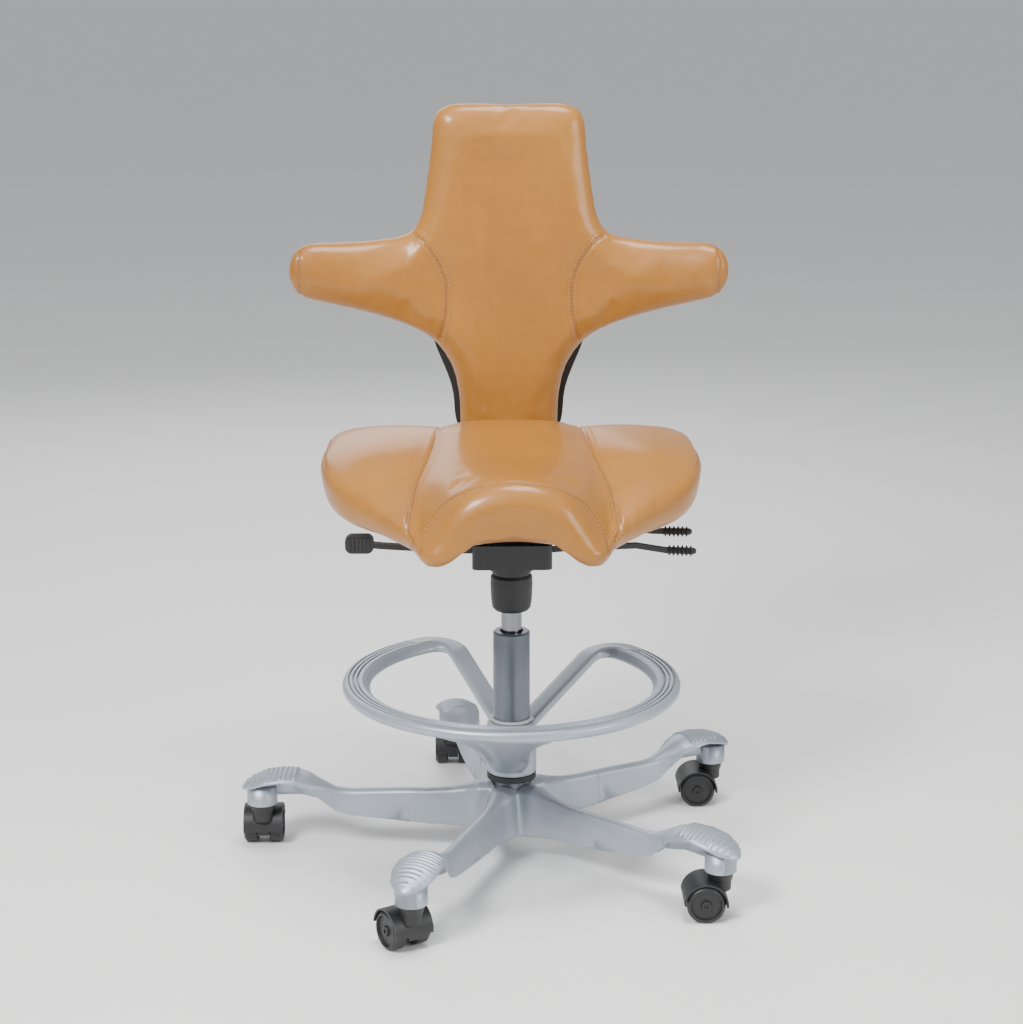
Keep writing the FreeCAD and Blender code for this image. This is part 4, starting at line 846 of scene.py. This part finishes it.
@dataclass
class Seat:
    """The saddle: a crowned middle that arches over the mechanism, and two wings at the rear.

    A row of shares is a section: its share of the length, then the half width, the crown's drop, the
    seam's place and drop, the wing's place and drop, the side's drop, the low edge's place and drop
    and the arch's drop. Places are shares of the half width, drops are millimetres.
    """

    half_width: float = 0.252
    rear: float = 0.170
    front: float = 0.232
    crown: float = 0.582
    shares: tuple = (
        (0.0, 0.835, -19, 0.35, -26, 0.66, -26, -46, 0.70, -62, -58),
        (0.025, 0.925, -9, 0.36, -17, 0.72, -17, -48, 0.79, -75, -68),
        (0.09, 0.98, -3, 0.375, -12, 0.74, -12, -52, 0.87, -85, -72),
        (0.22, 1.0, 0, 0.39, -10, 0.74, -12, -54, 0.90, -90, -74),
        (0.42, 1.0, -5, 0.43, -20, 0.75, -19, -60, 0.905, -95, -75),
        (0.58, 0.92, -9, 0.475, -37, 0.72, -36, -70, 0.81, -100, -75),
        (0.715, 0.74, -11, 0.495, -57, 0.64, -59, -81, 0.655, -102, -76),
        (0.84, 0.565, -11, 0.465, -76, 0.53, -84, -96, 0.47, -108, -78),
        (0.94, 0.48, -13, 0.425, -88, 0.465, -97, -106, 0.415, -118, -82),
        (0.975, 0.45, -20, 0.40, -92, 0.437, -100, -108, 0.40, -117, -79),
        (1.0, 0.40, -40, 0.36, -95, 0.385, -99, -103, 0.37, -108, -66),
    )
    side_seam_seen: tuple = (
        (0.5709, 0.4268), (0.5742, 0.4365), (0.5785, 0.4453), (0.5823, 0.4531), (0.5950, 0.4775),
        (0.6028, 0.5020), (0.6066, 0.5225), (0.6071, 0.5352),
    )
    lip_seam_seen: tuple = (
        (0.5039, 0.4736), (0.5283, 0.4766), (0.5527, 0.4834), (0.5752, 0.4980), (0.5898, 0.5225),
        (0.5945, 0.5371),
    )
    shell_inset: float = 0.020
    shell_wall: float = 0.008
    boss_half: tuple = (0.066, 0.098)
    boss_middle: float = 0.006
    shop: PadShop = field(default_factory=PadShop)

    def sections(self, where: Array) -> Array:
        """Control points of the seat's sections.

        Args:
            where: shares of the seat's length, shape (m,).

        Returns:
            The control points round each section, shape (m, 20, 3).
        """
        table = np.array(self.shares)
        along, wide, crown, seam_x, seam, wing_x, wing, side, low_x, under, arch = (
            smooth_curve(table[:, 0], table, where).T)
        span = self.rear + self.front
        half = [
            (0 * along, crown),
            (seam_x * 0.62, crown - (crown - seam) * 0.24),
            (seam_x, seam),
            (wing_x, wing),
            (wide * 0.94 + wing_x * 0.06, (wing + side) / 2 + 9),
            (wide, side),
            (wide - (wide - low_x) * 0.3, under + (side - under) * 0.3),
            (low_x, under),
            (low_x * 0.8, under + (arch - under) * 0.12),
            (low_x * 0.5, under + (arch - under) * 0.78),
            (0 * along, arch),
        ]
        ring = half + [(-x, up) for x, up in half[-2:0:-1]]
        points = np.empty((len(where), len(ring), 3))
        for index, (across, up) in enumerate(ring):
            points[:, index, 0] = across * self.half_width
            points[:, index, 1] = self.rear - span * along
            points[:, index, 2] = self.crown + up * MM
        return points

    def seen(self, tree: BVHTree, places: Sequence[tuple]) -> Array:
        """Spots on the skin behind places of the camera's picture.

        Args:
            tree: a search tree over the skin.
            places: rightwards and downwards in the picture, as shares of its width.

        Returns:
            The spots, shape (n, 3).
        """
        bpy.context.view_layer.update()
        camera = bpy.context.scene.camera
        keys = np.array(places, float)
        where = np.linspace(0, len(keys) - 1, 40)
        fine = smooth_curve(np.arange(len(keys), dtype=float), keys, where)
        reach = math.tan(camera.data.angle / 2)
        rays = np.empty((len(fine), 3))
        rays[:, 0] = (fine[:, 0] - 0.5 + camera.data.shift_x) * 2 * reach
        rays[:, 1] = (0.5 - fine[:, 1] + camera.data.shift_y) * 2 * reach
        rays[:, 2] = -1
        turn = np.array(camera.matrix_world.to_3x3())
        hits = [tree.ray_cast(camera.matrix_world.translation, Vector(ray)) for ray in rays @ turn.T]
        return np.array([hit[0][:] for hit in hits if hit[0] is not None])

    def seams(self, tree: BVHTree) -> list[Seam]:
        """Side seams from the rear edge down past the toes, the lip's arch and the end panels.

        Args:
            tree: a search tree over the skin.

        Returns:
            The seams.
        """
        rear = self.sections(np.linspace(0.0, 0.05, 6))[:, 2]
        right = np.concatenate([rear, self.seen(tree, self.side_seam_seen)])
        half = self.seen(tree, self.lip_seam_seen)
        half = half[np.argsort(half[:, 0] - half[:, 2] * 0.5)]
        arch = np.concatenate([half[::-1] * (-1, 1, 1), half[1:]])
        ends = []
        for sign in (-1, 1):
            spots = self.sections(np.linspace(0.02, 0.46, 24))[:, 4 if sign > 0 else -4].copy()
            ends.append(Seam(spots, 0.0008, 0.0022, (0.0028,)))
        return [Seam(right, valley=0.0010), Seam(right * (-1, 1, 1), valley=0.0010),
                Seam(arch, 0.0013, 0.003, (-0.004, 0.004))] + ends

    def shell(self) -> bpy.types.Object:
        """The black shell under the cushion: a strip between two layers that follow the arch, and a boss.

        A layer's height falls from the middle to the edge with the square of the distance across.

        Returns:
            The shell.
        """
        along = np.linspace(0.04, 0.84, 60)
        ring = self.sections(along)
        low, arch = ring[:, 7], ring[:, 10]
        across = np.linspace(-1, 1, 49)
        edge = low[:, 0] - self.shell_inset
        drop = (arch[:, 2] - low[:, 2]) * (edge / low[:, 0]) ** 2
        top = np.empty((len(along), len(across), 3))
        top[..., 0] = edge[:, None] * across
        top[..., 1] = arch[:, None, 1]
        top[..., 2] = arch[:, None, 2] + 0.002 - drop[:, None] * across ** 2
        bottom = top[:, ::-1].copy()
        bottom[..., 2] -= self.shell_wall
        strip = MeshShop.grid("strip", np.concatenate([top, bottom], axis=1))
        across, along = squared_circle(np.linspace(0, 2 * math.pi, 80, endpoint=False), 0.35)
        shrink = np.array([0.96, 1.0, 1.0, 0.99])
        level = np.array([0.4883, 0.4895, 0.500, 0.503])
        boss = np.empty((4, 80, 3))
        boss[..., 0] = self.boss_half[0] * shrink[:, None] * across
        boss[..., 1] = self.boss_middle + self.boss_half[1] * shrink[:, None] * along
        boss[..., 2] = level[:, None]
        return join("seat_shell_cover", [strip, MeshShop.grid("boss", boss)])

    def build(self) -> None:
        """Make the cushion, its stitches and its shell."""
        grid = closed_loop(self.sections(np.linspace(0, 1, 120)), 220)
        cushion = MeshShop.grid("seat_cushion_leather", grid)
        seams = self.seams(self.shop.tree_of(cushion))
        self.shop.finish(cushion, seams)
        dress(cushion, Finish.LEATHER)
        place_piece(cushion, "seat", "leather", "seat_cushion")
        stitches = self.shop.stitch("seat_stitches", cushion, seams)
        place_piece(stitches, "seat", "leather")
        shell = sharpen(dress(self.shell(), Finish.PLASTIC))
        place_piece(shell, "seat", "black_plastic", "seat_shell")


@dataclass
class Back:
    """The back pad: an upright with a narrow waist and two wings that come forward.

    Its half outline is (across, up) in millimetres, read from the front.
    """

    face: float = 0.188
    thickness: float = 0.0417
    reach: float = 0.306
    level: float = 0.784
    forward: float = 0.034
    wing_start: float = 0.110
    shop: PadShop = field(default_factory=lambda: PadShop(relax=16, most=0.005))
    half_outline: tuple = (
        (0, 1010), (50, 1011.5), (78, 1011), (96.5, 1004), (104.5, 991), (107.5, 970), (111, 940),
        (119, 893), (126, 860), (138, 839), (160, 828.5), (195, 824), (240, 822), (275, 821.5), (297, 813),
        (306.5, 790), (304, 764), (290, 746), (257, 735), (190, 717), (140, 699), (110, 680), (90, 655),
        (78, 625), (72, 590), (70, 558), (67, 535), (56, 523), (30, 520), (0, 520),
    )
    root_seam: tuple = (
        (0.136, 0.835), (0.116, 0.819), (0.100, 0.797), (0.090, 0.774), (0.087, 0.750), (0.089, 0.717),
        (0.098, 0.685),
    )

    def outline(self, count: int) -> Array:
        """The pad's closed outline seen from the front, as (across, up)."""
        half = np.array(self.half_outline) * MM
        left = half[-2:0:-1] * (-1, 1)
        return closed_loop(np.concatenate([half, left]), count)

    def pillow(self) -> Array:
        """Grid of the pad: rings that shrink from the outline to the middle, front side and rear side.

        At a distance d inside the outline the pad's half thickness is T * sqrt(1 - (1 - d / R)^2), full
        beyond d = R. The middle surface comes forward with the square of the distance along a wing.

        Returns:
            The places, shape (119, 720, 3).
        """
        columns, rows = 720, 60
        rim = self.outline(columns)
        share = np.sin(np.linspace(0.012, 1, rows) * math.pi / 2)
        centre = np.array([0, self.level])
        flat = centre + (rim - centre) * share[:, None, None]
        fine = self.outline(1600)
        spots = np.zeros((rows * columns, 3))
        spots[:, :2] = flat.reshape(-1, 2)
        line = np.zeros((len(fine), 3))
        line[:, :2] = fine
        inside = distance_to_line(spots, line).reshape(rows, columns)
        inside[-1] = 0
        across = np.abs(flat[..., 0])
        wing = ramped(across, self.wing_start, self.reach)
        middle = self.face + self.thickness / 2 - self.forward * wing ** 2
        ease = smoothstep(np.clip(wing * 3, 0, 1))
        half = self.thickness / 2 + 0.005 * ease
        swell = quarter_round(inside / (0.034 + 0.020 * ease))
        flatness = quarter_round(inside / (0.014 + 0.026 * ease))
        hollow = 0.004 * ramped(inside, 0.03, 0.08) * (1 - wing)
        front = np.stack([flat[..., 0], middle - half * swell + hollow, flat[..., 1]], -1)
        rear = np.stack([flat[..., 0], middle + half * flatness, flat[..., 1]], -1)
        return np.concatenate([front, rear[-2::-1]])

    def seams(self) -> list[Seam]:
        """The curved seam at each wing's root and the cap seam near its tip."""
        made = []
        for sign in (-1, 1):
            root = np.array(self.root_seam)
            where = np.linspace(0, 1, 40)
            line = smooth_curve(np.linspace(0, 1, len(root)), root, where)
            spots = np.stack([sign * line[:, 0], np.full(len(line), self.face), line[:, 1]], -1)
            made.append(Seam(spots, 0.0014, 0.003, valley=0.0016))
            turn = np.linspace(0, 2 * math.pi, 60)
            cap = np.stack([np.full(60, sign * (self.reach - 0.012)),
                            self.face + self.thickness - 0.022 - self.forward * 0.9 + 0.03 * np.cos(turn),
                            self.level + 0.045 * np.sin(turn)], -1)
            made.append(Seam(cap, 0.0009, 0.0022, ()))
        return made

    def build(self) -> None:
        """Make the back pad and its stitches."""
        pad = MeshShop.grid("back_cushion_leather", self.pillow())
        seams = self.seams()
        self.shop.finish(pad, seams)
        dress(pad, Finish.LEATHER)
        place_piece(pad, "back", "leather", "back_cushion")
        stitches = self.shop.stitch("back_stitches", pad, [seam for seam in seams if seam.rows])
        place_piece(stitches, "back", "leather")


@dataclass
class FootRing:
    """The cast foot ring: a grooved band that bends into two spokes, a collar and a front bracket.

    A row of the bracket's table is its reach, width, top and underside, in millimetres. Sections of
    the band and spoke are (outwards, up from the top) in millimetres.
    """

    radius: float = 0.230
    band: float = 0.038
    peak: float = 0.254
    centre_angle: float = 82.5
    opening_half: float = 44.0
    bend: float = 0.034
    foot_top: float = 0.182
    column: float = 0.025
    collar_low: float = 0.118
    collar_top: float = 0.192
    bend_drop: float = 0.007
    bracket_table: tuple = (
        (24, 44, 184, 124), (36, 58, 187, 128), (46, 64, 190, 138), (60, 67, 196, 149), (85, 77, 205, 167),
        (110, 93, 214, 183), (140, 121, 226, 201), (170, 148, 236, 217), (193, 164, 243, 231),
        (202, 170, 244, 238),
    )

    @staticmethod
    def run(keys: Sequence[Sequence[tuple]]) -> Array:
        """A section from the four runs of corners that make it up."""
        return np.concatenate([read_line(np.array(run, float), count, False)
                               for run, count in zip(keys, (64, 8, 14, 22))])

    def profiles(self) -> tuple[Array, Array, Array]:
        """Sections of the grooved band, the plain band and the spoke, in metres."""
        grooves = []
        for edge in (11.5, 5.5, -0.5):
            grooves += [(edge, -0.7), (edge - 0.5, -4.2), (edge - 2.2, -4.2), (edge - 2.7, -0.5)]
        inner = [(-8, -0.4), (-13, -3.5), (-17, -8.5)]
        sole = [(-17, -8.5), (-19, -12), (-17, -16)]
        base = [(-17, -16), (-6, -17), (10, -17)]
        rim = [(10, -17), (15.5, -15.5), (18.4, -12), (19, -9), (18.2, -5), (16.3, -2.4), (14, -1.4)]
        grooved = self.run([[(14, -1.4)] + grooves + inner, sole, base, rim])
        plain = self.run([[(14, -1.4), (8, -0.3), (-2, 0)] + inner, sole, base, rim])
        bar = self.run([[(11, -0.4), (0, 0), (-11, -0.4)], [(-11, -0.4), (-14.5, -7), (-11, -13.6)],
                        [(-11, -13.6), (0, -14), (11, -13.6)], [(11, -13.6), (14.5, -7), (11, -0.4)]])
        across, rise = squared_circle(np.arctan2((bar[:, 1] + 7) / 7, bar[:, 0] / 14.5), 0.55)
        bar[:, 0] = 14.5 * across
        bar[:, 1] = -7 + 7 * rise
        return grooved * MM, plain * MM, bar * MM

    def path(self) -> dict[str, Array]:
        """The ring's middle line from one foot round to the other.

        Half of it is a straight spoke, a bend of constant radius and half the band's arc. The other
        half is its mirror image in the ring's own X axis.

        Returns:
            Its places and headings, how far its top is sunk, and its shares of spoke and of grooves.
        """
        middle = self.radius - self.band / 2
        reach = middle - self.bend
        lean = math.asin(self.bend / reach)
        opening = math.radians(self.opening_half)
        arc = np.linspace(math.pi, opening, 150)
        band = np.stack([middle * np.cos(arc), middle * np.sin(arc)], -1)
        turn = np.linspace(0, math.pi / 2 + lean, 34)[1:]
        bend = np.stack([reach + self.bend * np.cos(turn), -self.bend * np.sin(turn)], -1)
        end = bend[-1]
        straight = end * np.linspace(1, self.column * 0.9 / np.linalg.norm(end), 30)[1:, None]
        tail = turned_by(np.concatenate([bend, straight]), opening)
        half = np.concatenate([band, tail])
        other = half[1:] * (1, -1)
        line = np.concatenate([half[::-1], other])
        share = np.concatenate([np.zeros(len(band)), np.linspace(0, 1, len(turn)), np.ones(len(straight))])
        slope = (self.peak - self.foot_top - self.bend_drop) * np.linspace(0.02, 1, len(straight))
        sunk = np.concatenate([np.zeros(len(band)), self.bend_drop * np.linspace(0, 1, len(turn)) ** 2,
                               self.bend_drop + slope])
        fade = np.clip((arc - opening) / math.radians(5) - 0.6, 0, 1)
        grooves = np.concatenate([fade, np.zeros(len(tail))])

        def both(values: Array) -> Array:
            """Values of the half path, and the same again for its mirror image."""
            return np.concatenate([values[::-1], values[1:]])

        heading = np.gradient(line, axis=0)
        heading /= np.linalg.norm(heading, axis=1, keepdims=True)
        return {"line": line, "heading": heading, "share": both(share), "sunk": both(sunk),
                "grooves": both(grooves)}

    def sweep(self) -> bpy.types.Object:
        """The band, bends and spokes as one tube of upright sections that change from band to bar."""
        grooved, plain, bar = self.profiles()
        path = self.path()
        mix = path["grooves"][:, None, None]
        section = grooved * mix + plain * (1 - mix)
        ease = smoothstep(path["share"][:, None, None])
        section = section * (1 - ease) + bar * ease
        side = np.stack([path["heading"][:, 1], -path["heading"][:, 0]], -1)
        outer = np.sign((side * path["line"]).sum(1)[len(side) // 2])
        grid = np.empty(section.shape[:2] + (3,))
        grid[..., :2] = path["line"][:, None] + side[:, None] * section[..., :1] * outer
        grid[..., 2] = (self.peak - path["sunk"])[:, None] + section[..., 1]
        return MeshShop.grid("ring_band", grid)

    def bracket(self) -> bpy.types.Object:
        """The front bracket: rounded sections that widen from the collar to the band, fluted below."""
        table = np.array(self.bracket_table)
        where = np.linspace(table[0, 0], table[-1, 0], 90)
        reach, width, top, low = smooth_curve(table[:, 0], table, where).T * MM
        across, rise = squared_circle(np.linspace(0, 2 * math.pi, 144, endpoint=False), 0.6)
        scoop = np.exp(-((np.abs(across) - 0.60) / 0.20) ** 2) * np.clip(-rise * 2, 0, 1)
        deep = 0.007 * ramped(where, 34, 52) * ramped(where, 190, 130)
        grid = np.empty((len(where), len(across), 3))
        grid[..., 0] = -reach[:, None]
        grid[..., 1] = width[:, None] / 2 * across
        grid[..., 2] = ((top + low) / 2)[:, None] + ((top - low) / 2)[:, None] * rise + deep[:, None] * scoop
        return MeshShop.grid("ring_bracket", grid)

    def collar(self) -> bpy.types.Object:
        """The collar round the column: a turned sleeve with a rounded top."""
        inner = self.column + 0.002
        low, top = self.collar_low, self.collar_top
        return MeshShop.turned("ring_collar", [
            (inner, low), (0.0330, low), (0.0342, low + 0.0015), (0.0345, low + 0.03), (0.0352, low + 0.05),
            (0.0342, top - 0.008), (0.0328, top - 0.002), (0.0308, top), (inner, top),
        ])

    def build(self) -> None:
        """Join the three surfaces into one casting; the bracket and collar are remeshed and smoothed together
        so they blend softly, and the band is joined to them as it is.
        """
        lower = join("ring_hub", [self.bracket(), self.collar()])
        apply_modifier(lower, "REMESH", mode="VOXEL", voxel_size=0.0017)
        apply_modifier(lower, "SMOOTH", factor=0.5, iterations=10)
        ring = join("foot_ring_casting", [self.sweep(), lower])
        set_points(ring, turned_by(points_of(ring), math.radians(self.centre_angle)))
        dress(ring, Finish.CASTING)
        sharpen(ring, 50)
        place_piece(ring, "base", "cast_base", "foot_ring")


@dataclass
class BaseStar:
    """The cast base: its arms flow into the hub, and the arms and ribbed pads stay as cast."""

    cut: float = 0.140
    lap: float = 0.006
    tucked: float = 0.0006
    voxel: float = 0.0018

    @staticmethod
    def clipped(source: bmesh.types.BMesh, cuts: Sequence[tuple], name: str, fill: bool) -> bpy.types.Object:
        """A copy of a mesh, cut by planes.

        Args:
            source: the mesh.
            cuts: the planes, each a (place, normal); what lies on a normal's side goes.
            name: the copy's name.
            fill: whether the cuts are closed.

        Returns:
            The copy, as an object.
        """
        part = source.copy()
        for place, normal in cuts:
            geometry = part.verts[:] + part.edges[:] + part.faces[:]
            bmesh.ops.bisect_plane(part, geom=geometry, plane_co=place, plane_no=normal, clear_outer=True)
        if fill:
            bmesh.ops.holes_fill(part, edges=part.edges[:], sides=0)
        bmesh.ops.triangulate(part, faces=part.faces[:])
        data = bpy.data.meshes.new(name)
        part.to_mesh(data)
        part.free()
        return in_scene(name, data)

    def build(self) -> None:
        """Cut the casting across its arms, smooth the hub as a soft casting and keep the arms."""
        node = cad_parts["base_star"]
        source = bmesh.new()
        source.from_mesh(node.data)
        bmesh.ops.transform(source, matrix=node.matrix_world, verts=source.verts[:])
        bmesh.ops.remove_doubles(source, verts=source.verts[:], dist=1e-6)
        places = points_of(node)
        far = places[np.hypot(places[:, 0], places[:, 1]) > 0.34]
        turn = np.angle(np.exp(5j * np.arctan2(far[:, 1], far[:, 0])).mean()) / 5
        outward = [Vector((math.cos(turn + step * math.tau / 5), math.sin(turn + step * math.tau / 5), 0))
                   for step in range(5)]
        pads = [self.clipped(source, [(way * self.cut, -way)], "pad", False) for way in outward]
        middle = self.clipped(source, [(way * (self.cut + self.lap), way) for way in outward], "middle", True)
        source.free()
        apply_modifier(middle, "REMESH", mode="VOXEL", voxel_size=self.voxel)
        spots = points_of(middle)
        reach = np.hypot(spots[:, 0], spots[:, 1])
        height = spots[:, 2]
        self.soften(middle, "arms", ramped(reach, 0.134, 0.109) * ramped(height, 0.096, 0.090), 14)
        hub = ramped(reach, 0.112, 0.082) * ramped(height, 0.094, 0.082) * ramped(reach, 0.030, 0.034)
        self.soften(middle, "hub", hub, 90)
        along = np.max([spots[:, 0] * way.x + spots[:, 1] * way.y for way in outward], axis=0)
        tuck = self.tucked * ramped(along, self.cut - 0.0005, self.cut + 0.0005)
        set_points(middle, points_of(middle) - points_of(middle, "normal") * tuck[:, None])
        star = join("base_star_casting", [middle] + pads)
        sharpen(dress(star, Finish.CASTING), 40)
        place_piece(star, "base", "cast_base", "base_star")

    @staticmethod
    def soften(obj: bpy.types.Object, name: str, weight: Array, rounds: int) -> None:
        """Smooth the points of an object by their weight, in eight steps of weight.

        Args:
            obj: the object.
            name: its vertex group's name.
            weight: how much each point moves, from 0 to 1.
            rounds: how many times it is smoothed.
        """
        group = obj.vertex_groups.new(name=name)
        steps = np.round(weight * 8).astype(int)
        for step in range(1, 9):
            group.add(np.nonzero(steps == step)[0].tolist(), step / 8, "REPLACE")
        apply_modifier(obj, "SMOOTH", factor=0.5, iterations=rounds, vertex_group=name)


FINISHED_NODES = {
    Finish.COLUMN: ("column_tube",),
    Finish.CHROME: ("gas_cylinder",),
    Finish.STEEL: ("piston_rod", "tilt_axle", "thrust_bearing", "column_clip", "caster_stems", "seat_rails",
                   "frame_screws", "seat_screws", "back_screws", "valve_button"),
    Finish.BLACK_STEEL: ("tilt_frame", "back_arm", "height_lever", "tilt_lock_lever", "seat_depth_lever",
                         "mech_housing"),
    Finish.BUSH: ("foot_ring_bush", "column_guide"),
    Finish.RUBBER: ("column_bumper", "tilt_buffers", "ring_washer"),
    Finish.CASTING: ("base_star", "foot_ring"),
}


@dataclass
class Studio:
    """A pale floor, soft light and the camera of the photograph.

    A lamp is its name, place, size in metres and power in watts.
    """

    distance: float = 2.8822
    height: float = 1.1961
    pitch: float = 13.88
    azimuth: float = -1.0
    lens: float = 78.07
    aim: tuple = (0, 0, 0.6)
    lamps: tuple = (
        ("window", (-1.5, -2.1, 2.6), 0.9, 135), ("fill", (2.5, -1.7, 1.5), 1.2, 45),
        ("top", (0.3, -0.3, 3.2), 1.0, 70), ("rear", (-0.6, 2.8, 2.0), 2.0, 30),
    )
    sky: tuple = rgba(0.86, 0.88, 0.92)
    sky_strength: float = 0.62

    def light(self, name: str, place: tuple, size: float, power: float) -> None:
        """One soft square light aimed at the stool.

        Args:
            name: its name.
            place: where it hangs.
            size: its side, in metres.
            power: its power, in watts.
        """
        data = bpy.data.lights.new(name, "AREA")
        data.size = size
        data.energy = power
        lamp = in_scene(name, data)
        lamp.location = place
        lamp.rotation_euler = (Vector(self.aim) - Vector(place)).to_track_quat("-Z", "Y").to_euler()

    def build(self) -> None:
        """Make floor, world, lights and camera."""
        angle = np.linspace(0, 2 * math.pi, 97)[:-1]
        rings = np.array([0.001, 1, 5, 25, 90])
        grid = np.zeros((len(rings), len(angle), 3))
        grid[..., 0] = rings[:, None] * np.cos(angle)
        grid[..., 1] = rings[:, None] * np.sin(angle)
        floor = MeshShop.grid("floor", grid, False)
        nodes = NodeMaker("floor")
        nodes.set(Base_Color=nodes.mix(nodes.noise(3.0), rgba(0.82, 0.815, 0.80), rgba(0.86, 0.85, 0.835)),
                  Roughness=0.7)
        floor.data.materials.append(nodes.material)
        world = bpy.data.worlds.new("studio")
        world.use_nodes = True
        backdrop = world.node_tree.nodes["Background"]
        backdrop.inputs["Color"].default_value = self.sky
        backdrop.inputs["Strength"].default_value = self.sky_strength
        bpy.context.scene.world = world
        for lamp in self.lamps:
            self.light(*lamp)
        turn = math.radians(self.azimuth)
        data = bpy.data.cameras.new("camera")
        data.lens = self.lens
        data.sensor_width = 36
        camera = in_scene("camera", data)
        camera.location = (self.distance * math.sin(turn), -self.distance * math.cos(turn), self.height)
        camera.rotation_euler = Euler((math.radians(90 - self.pitch), 0, turn), "XYZ")
        bpy.context.scene.camera = camera


def dress_frame() -> None:
    """Give every CAD node its finish: black plastic, if the table names no other."""
    finishes = {name: finish for finish, names in FINISHED_NODES.items() for name in names}
    for name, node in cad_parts.items():
        finish = finishes.get(name, Finish.PLASTIC)
        node.data.materials.clear()
        node.data.materials.append(PAINT.get(finish))


def main() -> None:
    """Build the studio and the stool."""
    logging.basicConfig(level=logging.INFO, format="%(message)s")
    Studio().build()
    dress_frame()
    Seat().build()
    Back().build()
    FootRing().build()
    BaseStar().build()


if __name__ == "__main__":
    main()
